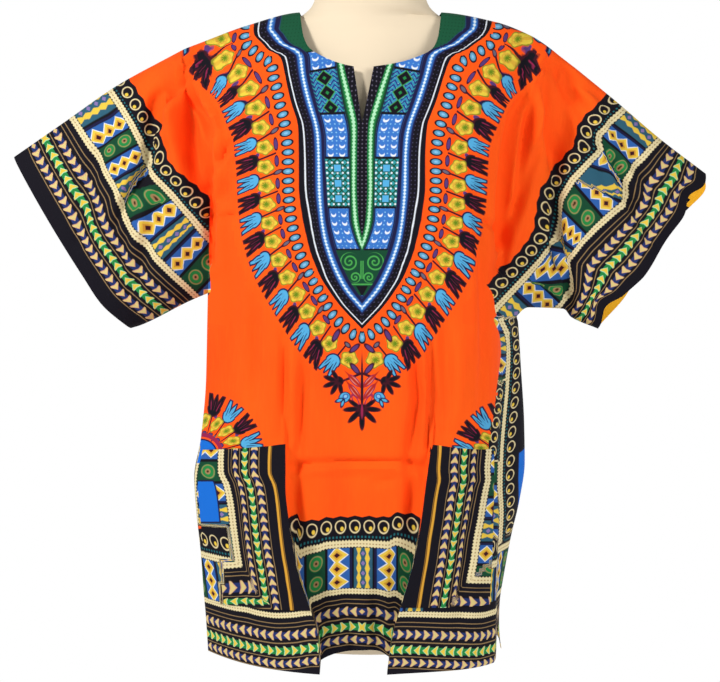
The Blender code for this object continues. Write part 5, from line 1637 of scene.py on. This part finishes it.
# motifs below the yoke's point: half-width, row, half-length, half-thickness, angle, ink and outline
TIP_SHAPES = (
    (26.0, 335.7, 6.0, 2.3, 62, "purple", "maroon"), (7.5, 348.5, 5.5, 2.2, 40, "purple", "maroon"),
    (7.0, 369.0, 6.0, 2.2, -50, "purple", "maroon"), (14.5, 345.0, 3.2, 1.8, 135, "grey", "maroon"),
    (9.0, 377.0, 8.5, 0.6, 22, "maroon", "maroon"),
    # dark flower: head and petals
    (24.0, 381.5, 5.0, 4.6, 0, "black", "maroon"), (31.5, 379.0, 5.5, 1.9, 160, "black", "maroon"),
    (32.0, 384.5, 5.5, 1.9, 20, "black", "maroon"), (27.5, 388.5, 5.5, 1.9, 60, "black", "maroon"),
    (21.5, 388.5, 4.5, 1.7, 100, "black", "maroon"), (27.0, 375.5, 4.5, 1.7, 120, "black", "maroon"),
    # small blue flower
    (17.5, 397.5, 5.6, 4.8, 30, "sky", "navy"), (22.5, 400.5, 3.6, 1.5, 20, "sky", "navy"),
    (19.5, 403.5, 3.4, 1.4, 70, "sky", "navy"), (16.5, 396.5, 2.2, 1.8, 30, "light_blue", "blue"),
    # feather leaves
    (7.4, 381.0, 6.6, 2.6, 135, "pink", "magenta"), (7.4, 381.0, 5.6, 0.5, 135, "red", "red"),
    (7.6, 391.5, 7.2, 2.4, 128, "pink", "magenta"), (7.6, 391.5, 6.0, 0.5, 128, "red", "red"),
    (6.6, 400.5, 5.6, 2.0, 122, "orange", "magenta"), (0.0, 390.0, 17.0, 0.7, 90, "black", "maroon"),
    # dark flower at the end
    (0.0, 411.0, 6.0, 6.2, 0, "black", "maroon"), (0.0, 421.0, 7.5, 2.2, 90, "black", "maroon"),
    (7.5, 416.5, 7.0, 2.2, 45, "black", "maroon"), (10.5, 409.5, 6.5, 2.0, 5, "black", "maroon"),
    (8.0, 404.0, 5.0, 1.6, -35, "black", "maroon"), (0.0, 411.5, 3.0, 0.5, 90, "magenta", "magenta"),
)
TIP_BLOOM = (12.8, 359.6, -20.0)    # middle of the yellow flower beside the axis, and its lean
TIP_TULIP = (19.9, 350.1, 50.7)     # where the blue tulip's stem starts, and its direction


def draw_tip(cloth):
    """The bouquet's own group below the yoke's point, over the ends of both rings."""
    draw_lenses(cloth)
    draw_flowers(cloth, tip=True)
    middle, row = cloth.places("Front")
    half = middle.size()
    out, across = turned(half, row, *TIP_TULIP)
    cloth.lay(out.near(0.5, 9.0) * across.size().under(0.9), "maroon")
    draw_tulip(cloth, across.size(), out, "sky", "navy", "dark_blue")
    across, up = turned(half, row, *TIP_BLOOM)
    draw_bloom(cloth, across * 0.86, up)
    for centre, height, length, thick, angle, inner, outline in TIP_SHAPES:
        along, across = turned(half, row, centre, height, angle)
        along, across = along * (1 / length), across * (1 / thick)
        shape = (along * along + across * across).math("SQRT") * thick
        cloth.lay(shape.under(thick + 0.7), outline)
        if inner != outline:
            cloth.lay(shape.under(thick - 0.3), inner)


def draw_corner(cloth):
    """The quarter bouquets above the pockets: a bright heart and an arc, flowers around it."""
    out = cloth.places("Flower")[1]
    cloth.lay(out.near(-13.0, 2.0), "magenta")
    cloth.lay(out.under(-17.5), "bright_blue")
    cloth.lay(out.near(-17.5, 0.8), "navy")


def make_materials():
    """Every cloth material."""
    made = {"plain": Cloth("cloth_plain").finish()}
    zones = (("border", (draw_border,)), ("bouquet", (draw_rings,)),
             ("corner", (draw_flowers, draw_corner)), ("tip", (draw_tip,)), ("yoke", (draw_yoke,)))
    for name, steps in zones:
        cloth = Cloth("cloth_" + name)
        for step in steps:
            step(cloth)
        made[name] = cloth.finish()
    cloth = Cloth("cloth_pocket")
    draw_border(cloth, pocket=True)
    made["pocket"] = cloth.finish()
    made["lining"] = Cloth("cloth_lining", ground="inside", low="inside_deep", high="inside").finish()
    return made


def form_material():
    """Off-white woven cover of the dress form."""
    cloth = Cloth("form_cover", ground="ivory", low="ivory", high="ivory")
    return cloth.finish(weave=0.8, wrinkle=0.03)


def add_object(name, data):
    """A new object of the scene."""
    thing = bpy.data.objects.new(name, data)
    bpy.context.scene.collection.objects.link(thing)
    return thing


def seam_distance(sheet, other):
    """Distance of every point from the seams that this sheet shares with the other one."""
    keys = {tuple(key) for key in other.keys.tolist()}
    seam = [k for k, key in enumerate(sheet.keys.tolist()) if tuple(key) in keys]
    tree = KDTree(len(seam))
    for k in seam:
        tree.insert(sheet.points[k], k)
    tree.balance()
    return np.array([tree.find(point)[2] for point in sheet.points])


BAKE_WIDTH = 1.30            # metres across the whole unfolded layout
BAKE_SPLIT = 0.33            # the layout's lower share is for the reverse side


def bake_map(sheet):
    """An unfolded layout: across the cloth and down its rows."""
    return np.stack([sheet.across / BAKE_WIDTH + 0.5, 1 - sheet.row / 2], axis=1)


def finish_piece(thing, nodes):
    """Hide the frame's parts that the cloth piece stands for, and attach the piece to the root body."""
    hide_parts(*nodes)
    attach(thing, "root")


# the reverse side shows the plain yellow lining by the sleeves' hems: beyond a column, and lower down
LINING_COLUMN = 321.0
LINING_CORNER = (225.0, 272.0)


def make_cloth(materials):
    """The front and the back; also each sheet and its normals."""
    sheets = [Sheet(FRONT), Sheet(BACK)]
    normals = shared_normals(sheets)
    drawn = [front_maps(sheets[0]), back_maps(sheets[1])]
    moved = []
    for k, table in enumerate((FRONT_CREASES, BACK_CREASES)):
        seen = sheets[k].points * (np.array([1.0, 1.0, 1.0]) if k == 0 else np.array([-1.0, -1.0, 1.0]))
        column, row = drawing_place(seen)
        hold = ramp(seam_distance(sheets[k], sheets[1 - k]), 0.0, SEAM_FADE)
        moved.append(add_creases(sheets[k].points, normals[k], table, column, row, hold))
    moved[0] = tuck_hems(moved[0], *drawing_place(sheets[0].points))
    moved[0] = lower_middle(moved[0], sheets[0])
    for sheet, points in zip(sheets, moved):
        sheet.points = points
    normals = shared_normals(sheets)
    made = []
    for k, name in enumerate(("front", "back")):
        maps, corner = drawn[k]
        maps["OFBake"] = bake_map(sheets[k])
        zones = zones_of(sheets[k], maps, corner)
        column, row = drawing_place(sheets[k].points)
        column, row = np.abs(column)[sheets[k].quads].min(axis=1), row[sheets[k].quads].min(axis=1)
        far = (column > LINING_COLUMN) | ((column > LINING_CORNER[0]) & (row > LINING_CORNER[1]))
        inner = ["lining" if out else zone for out, zone in zip(far, zones)]
        surface = (sheets[k].points, normals[k], sheets[k].faces)
        made.append(shell(name + "_cloth", *surface, zones, maps, materials, inner))
    return made, sheets, normals, drawn[0][0]


POCKET_WIDER = {LEFT: 0.125, RIGHT: TINY}   # columns that a pocket reaches further round the side
POCKET_LIFT = 0.0012         # its outer face above the front's outer face
POCKET_CORNER_ROW = 526.0    # below it the left pocket shows the rings of the hem's border
POCKET_STEP = (-141.0, 559.0)   # and from this row down only as far as this column
POCKET_TOP_LEVEL = 136.0     # the hem's border never ends on the pocket
RUN_AHEAD = 400.0            # keeps a pocket's runs clear of 0, where chevrons turn round
TWIN_STEP = {LEFT: 1.0, RIGHT: 0.95}    # border cells by drawing row along a pocket's edge


def make_pocket(side, sheet, normals, maps, materials):
    """A pocket: the front's own surface over the pocket's area, lifted off it."""
    first_row, last_row = (LOWER_ROWS[k] for k in POCKET_ROWS)
    last_column = OUTER_COLUMNS[side][POCKET_COLUMNS[1] - len(INNER_COLUMNS[FRONT])]
    rows, columns = FINE_ROWS["lower"], body_columns(FRONT, side)
    rows = rows[(rows > first_row - TINY) & (rows < last_row + (LOWER_STEP if side == LEFT else TINY))]
    columns = columns[(columns > 1 - TINY) & (columns < last_column + POCKET_WIDER[side])]
    base = grid(body, FRONT, side, rows, columns)
    places = {tuple(key): k for k, key in enumerate(sheet.keys.tolist())}
    keys = keys_of(base).tolist()
    cells = cells_of(np.array([places[tuple(key)] for key in keys]).reshape(base.shape[:2]))
    if FRONT * side > 0:
        cells = cells[:, ::-1]
    column, row = maps["Front"][:, 0], maps["Front"][:, 1]
    inward = (column - POCKET_COLUMN[side].at("x", row)) * -side
    beside = POCKET_ACROSS.at("border", inward)
    below = POCKET_DOWN[side].at("border", row)
    along = (POCKET_TWIN_ROW[side] - row) * TWIN_STEP[side]
    own = dict(maps)
    cell, level = np.where(beside < below, along, column), np.minimum(beside, below)
    if side == LEFT:
        above_step = (row < POCKET_STEP[1]) & (beside > PALE_LOW + 6)
        printed_over = (row > POCKET_CORNER_ROW) & (above_step | (column < POCKET_STEP[0]))
        cell = np.where(printed_over, maps["Border"][:, 0], cell)
        level = np.where(printed_over, np.minimum(maps["Border"][:, 1], POCKET_TOP_LEVEL), level)
    own["Border"] = np.stack([cell, level], axis=1)
    own["Run"] = np.stack([cell + RUN_AHEAD, cell + RUN_AHEAD], axis=1)
    own["Cut"] = np.full_like(own["Run"], HIDDEN)
    name = "pocket_left_cloth" if side == LEFT else "pocket_right_cloth"
    zones = ["pocket"] * len(cells)
    points = sheet.points + normals * POCKET_LIFT
    return shell(name, points, normals, cells.tolist(), zones, own, materials, zones)


# the front of the neck's foot comes forward, so that chest and neck run into each other
THROAT = Table(
    "z forward", (0.6, 0), (0.64, 0.008), (0.67, 0.015), (0.72, 0.0155), (0.75, 0.011), (0.776, 0.0095),
    (0.784, 0.0098), (0.79, 0.011), (0.795, 0.0115), (0.799, 0.012), (0.803, 0.0055), (0.81, 0.001),
    (0.816, 0))
THROAT_WIDTH = 0.085


def make_form(material):
    """Neck, shoulders and torso in smooth oval rings on a flat base, with a flat neck top."""
    levels = finer(FORM_RINGS.key, FORM_STEP)
    angles = np.linspace(0, 2 * np.pi, FORM_SIDES, endpoint=False)
    names = FORM_RINGS.names[1:]
    half_width, centre_y, half_depth = (FORM_RINGS.at(name, levels)[:, None] for name in names)
    x = FORM_X + half_width * np.cos(angles)
    y = centre_y + half_depth * np.sin(angles)
    throat = np.clip(1 - (x / THROAT_WIDTH) ** 2, 0, 1) ** 2 * (np.sin(angles) < 0)
    y = y - THROAT.at("forward", levels)[:, None] * throat
    points = np.stack([x, y, np.broadcast_to(levels[:, None], x.shape)], axis=-1).reshape(-1, 3)
    last = (len(levels) - 1) * FORM_SIDES
    faces = []
    for low in range(0, last, FORM_SIDES):
        for k in range(FORM_SIDES):
            after, high = (k + 1) % FORM_SIDES, low + FORM_SIDES
            faces.append((low + k, low + after, high + after, high + k))
    faces.append(tuple(range(FORM_SIDES))[::-1])
    faces.append(tuple(range(last, last + FORM_SIDES)))
    mesh = bpy.data.meshes.new("dress_form_smooth")
    mesh.from_pydata(points.tolist(), [], faces)
    mesh.materials.append(material)
    mesh.shade_smooth()
    mesh.set_sharp_from_angle(angle=math.radians(FORM_SHARP))
    thing = add_object("dress_form_smooth", mesh)
    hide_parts("dress_form")
    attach(thing, "root")
    return thing


def look_at(thing, target):
    """Turn an object's -Z axis to a target."""
    way = Vector(target) - thing.location
    thing.rotation_euler = way.to_track_quat("-Z", "Y").to_euler()


def make_light(name, place, target, size, power):
    """A soft square light."""
    data = bpy.data.lights.new(name, "AREA")
    data.size = size
    data.energy = power
    light = add_object(name, data)
    light.location = place
    look_at(light, target)


WORLD_LIGHT = 0.27
LIT_POINT = (0.0, 0.0, 0.42)
LIGHTS = (("key", (-2.1, -1.7, 2.0), 0.5, 80), ("fill", (2.0, -2.0, 1.3), 1.2, 44))
FLOOR_SHADE = 0.75
STAGE_SIDE = 5.0             # half-width of the floor and the screen
STAGE_LINE = ((-4.0, 0.0), (-0.32, 0.0), (8.0, 0.0), (8.0, 5.0))    # y and z of the floor, then the screen


def stage_material(name, glow):
    """White, lit by the lamps or glowing by itself."""
    material = bpy.data.materials.new(name)
    material.use_nodes = True
    shader = material.node_tree.nodes["Principled BSDF"]
    shade = 0.0 if glow else FLOOR_SHADE
    shader.inputs["Base Color"].default_value = (shade, shade, shade, 1.0)
    shader.inputs["Specular IOR Level"].default_value = 0.0
    shader.inputs["Emission Color"].default_value = (1.0, 1.0, 1.0, 1.0)
    shader.inputs["Emission Strength"].default_value = glow
    return material


def make_stage():
    """A pale floor, glowing white from just before the object backwards, a far screen and the lights."""
    points = [(x, y, z) for y, z in STAGE_LINE for x in (-STAGE_SIDE, STAGE_SIDE)]
    faces = [(2 * k, 2 * k + 1, 2 * k + 3, 2 * k + 2) for k in range(len(STAGE_LINE) - 1)]
    mesh = bpy.data.meshes.new("backdrop")
    mesh.from_pydata(points, [], faces)
    mesh.materials.append(stage_material("floor", 0.0))
    mesh.materials.append(stage_material("backdrop", 1.0))
    mesh.polygons.foreach_set("material_index", [0] + [1] * (len(faces) - 1))
    add_object("backdrop", mesh)
    world = bpy.data.worlds.new("studio")
    bpy.context.scene.world = world
    world.use_nodes = True
    world.node_tree.nodes["Background"].inputs["Color"].default_value = (1.0, 1.0, 1.0, 1.0)
    world.node_tree.nodes["Background"].inputs["Strength"].default_value = WORLD_LIGHT
    for name, place, size, power in LIGHTS:
        make_light(name, place, LIT_POINT, size, power)


SENSOR = 36.0                # the camera's own millimetres
PICTURE_WIDTH = 720.0
CAMERA_X = -0.0012
CAMERA_SHIFT = -0.0014       # share of the picture's width
AIM = (-0.10, 0.405)         # y and z of the point that the camera looks at


def make_camera():
    """The camera, square in front and a little above."""
    data = bpy.data.cameras.new("camera")
    data.sensor_width = SENSOR
    data.lens = FOCAL_STEPS * SENSOR / PICTURE_WIDTH
    data.shift_x = CAMERA_SHIFT
    camera = add_object("camera", data)
    camera.location = (CAMERA_X, -VIEW_DISTANCE, VIEW_HEIGHT)
    look_at(camera, (CAMERA_X, *AIM))
    bpy.context.scene.camera = camera


def main():
    """Build every piece, the stage, the lights and the camera."""
    bpy.context.scene.view_settings.view_transform = "Standard"
    materials = make_materials()
    made, sheets, normals, maps = make_cloth(materials)
    finish_piece(made[0], ["front"])
    finish_piece(made[1], ["back"])
    for side, name in ((LEFT, "pocket_left"), (RIGHT, "pocket_right")):
        pocket = make_pocket(side, sheets[0], normals[0], maps, materials)
        finish_piece(pocket, [name])
    make_form(form_material())
    make_stage()
    make_camera()


main()
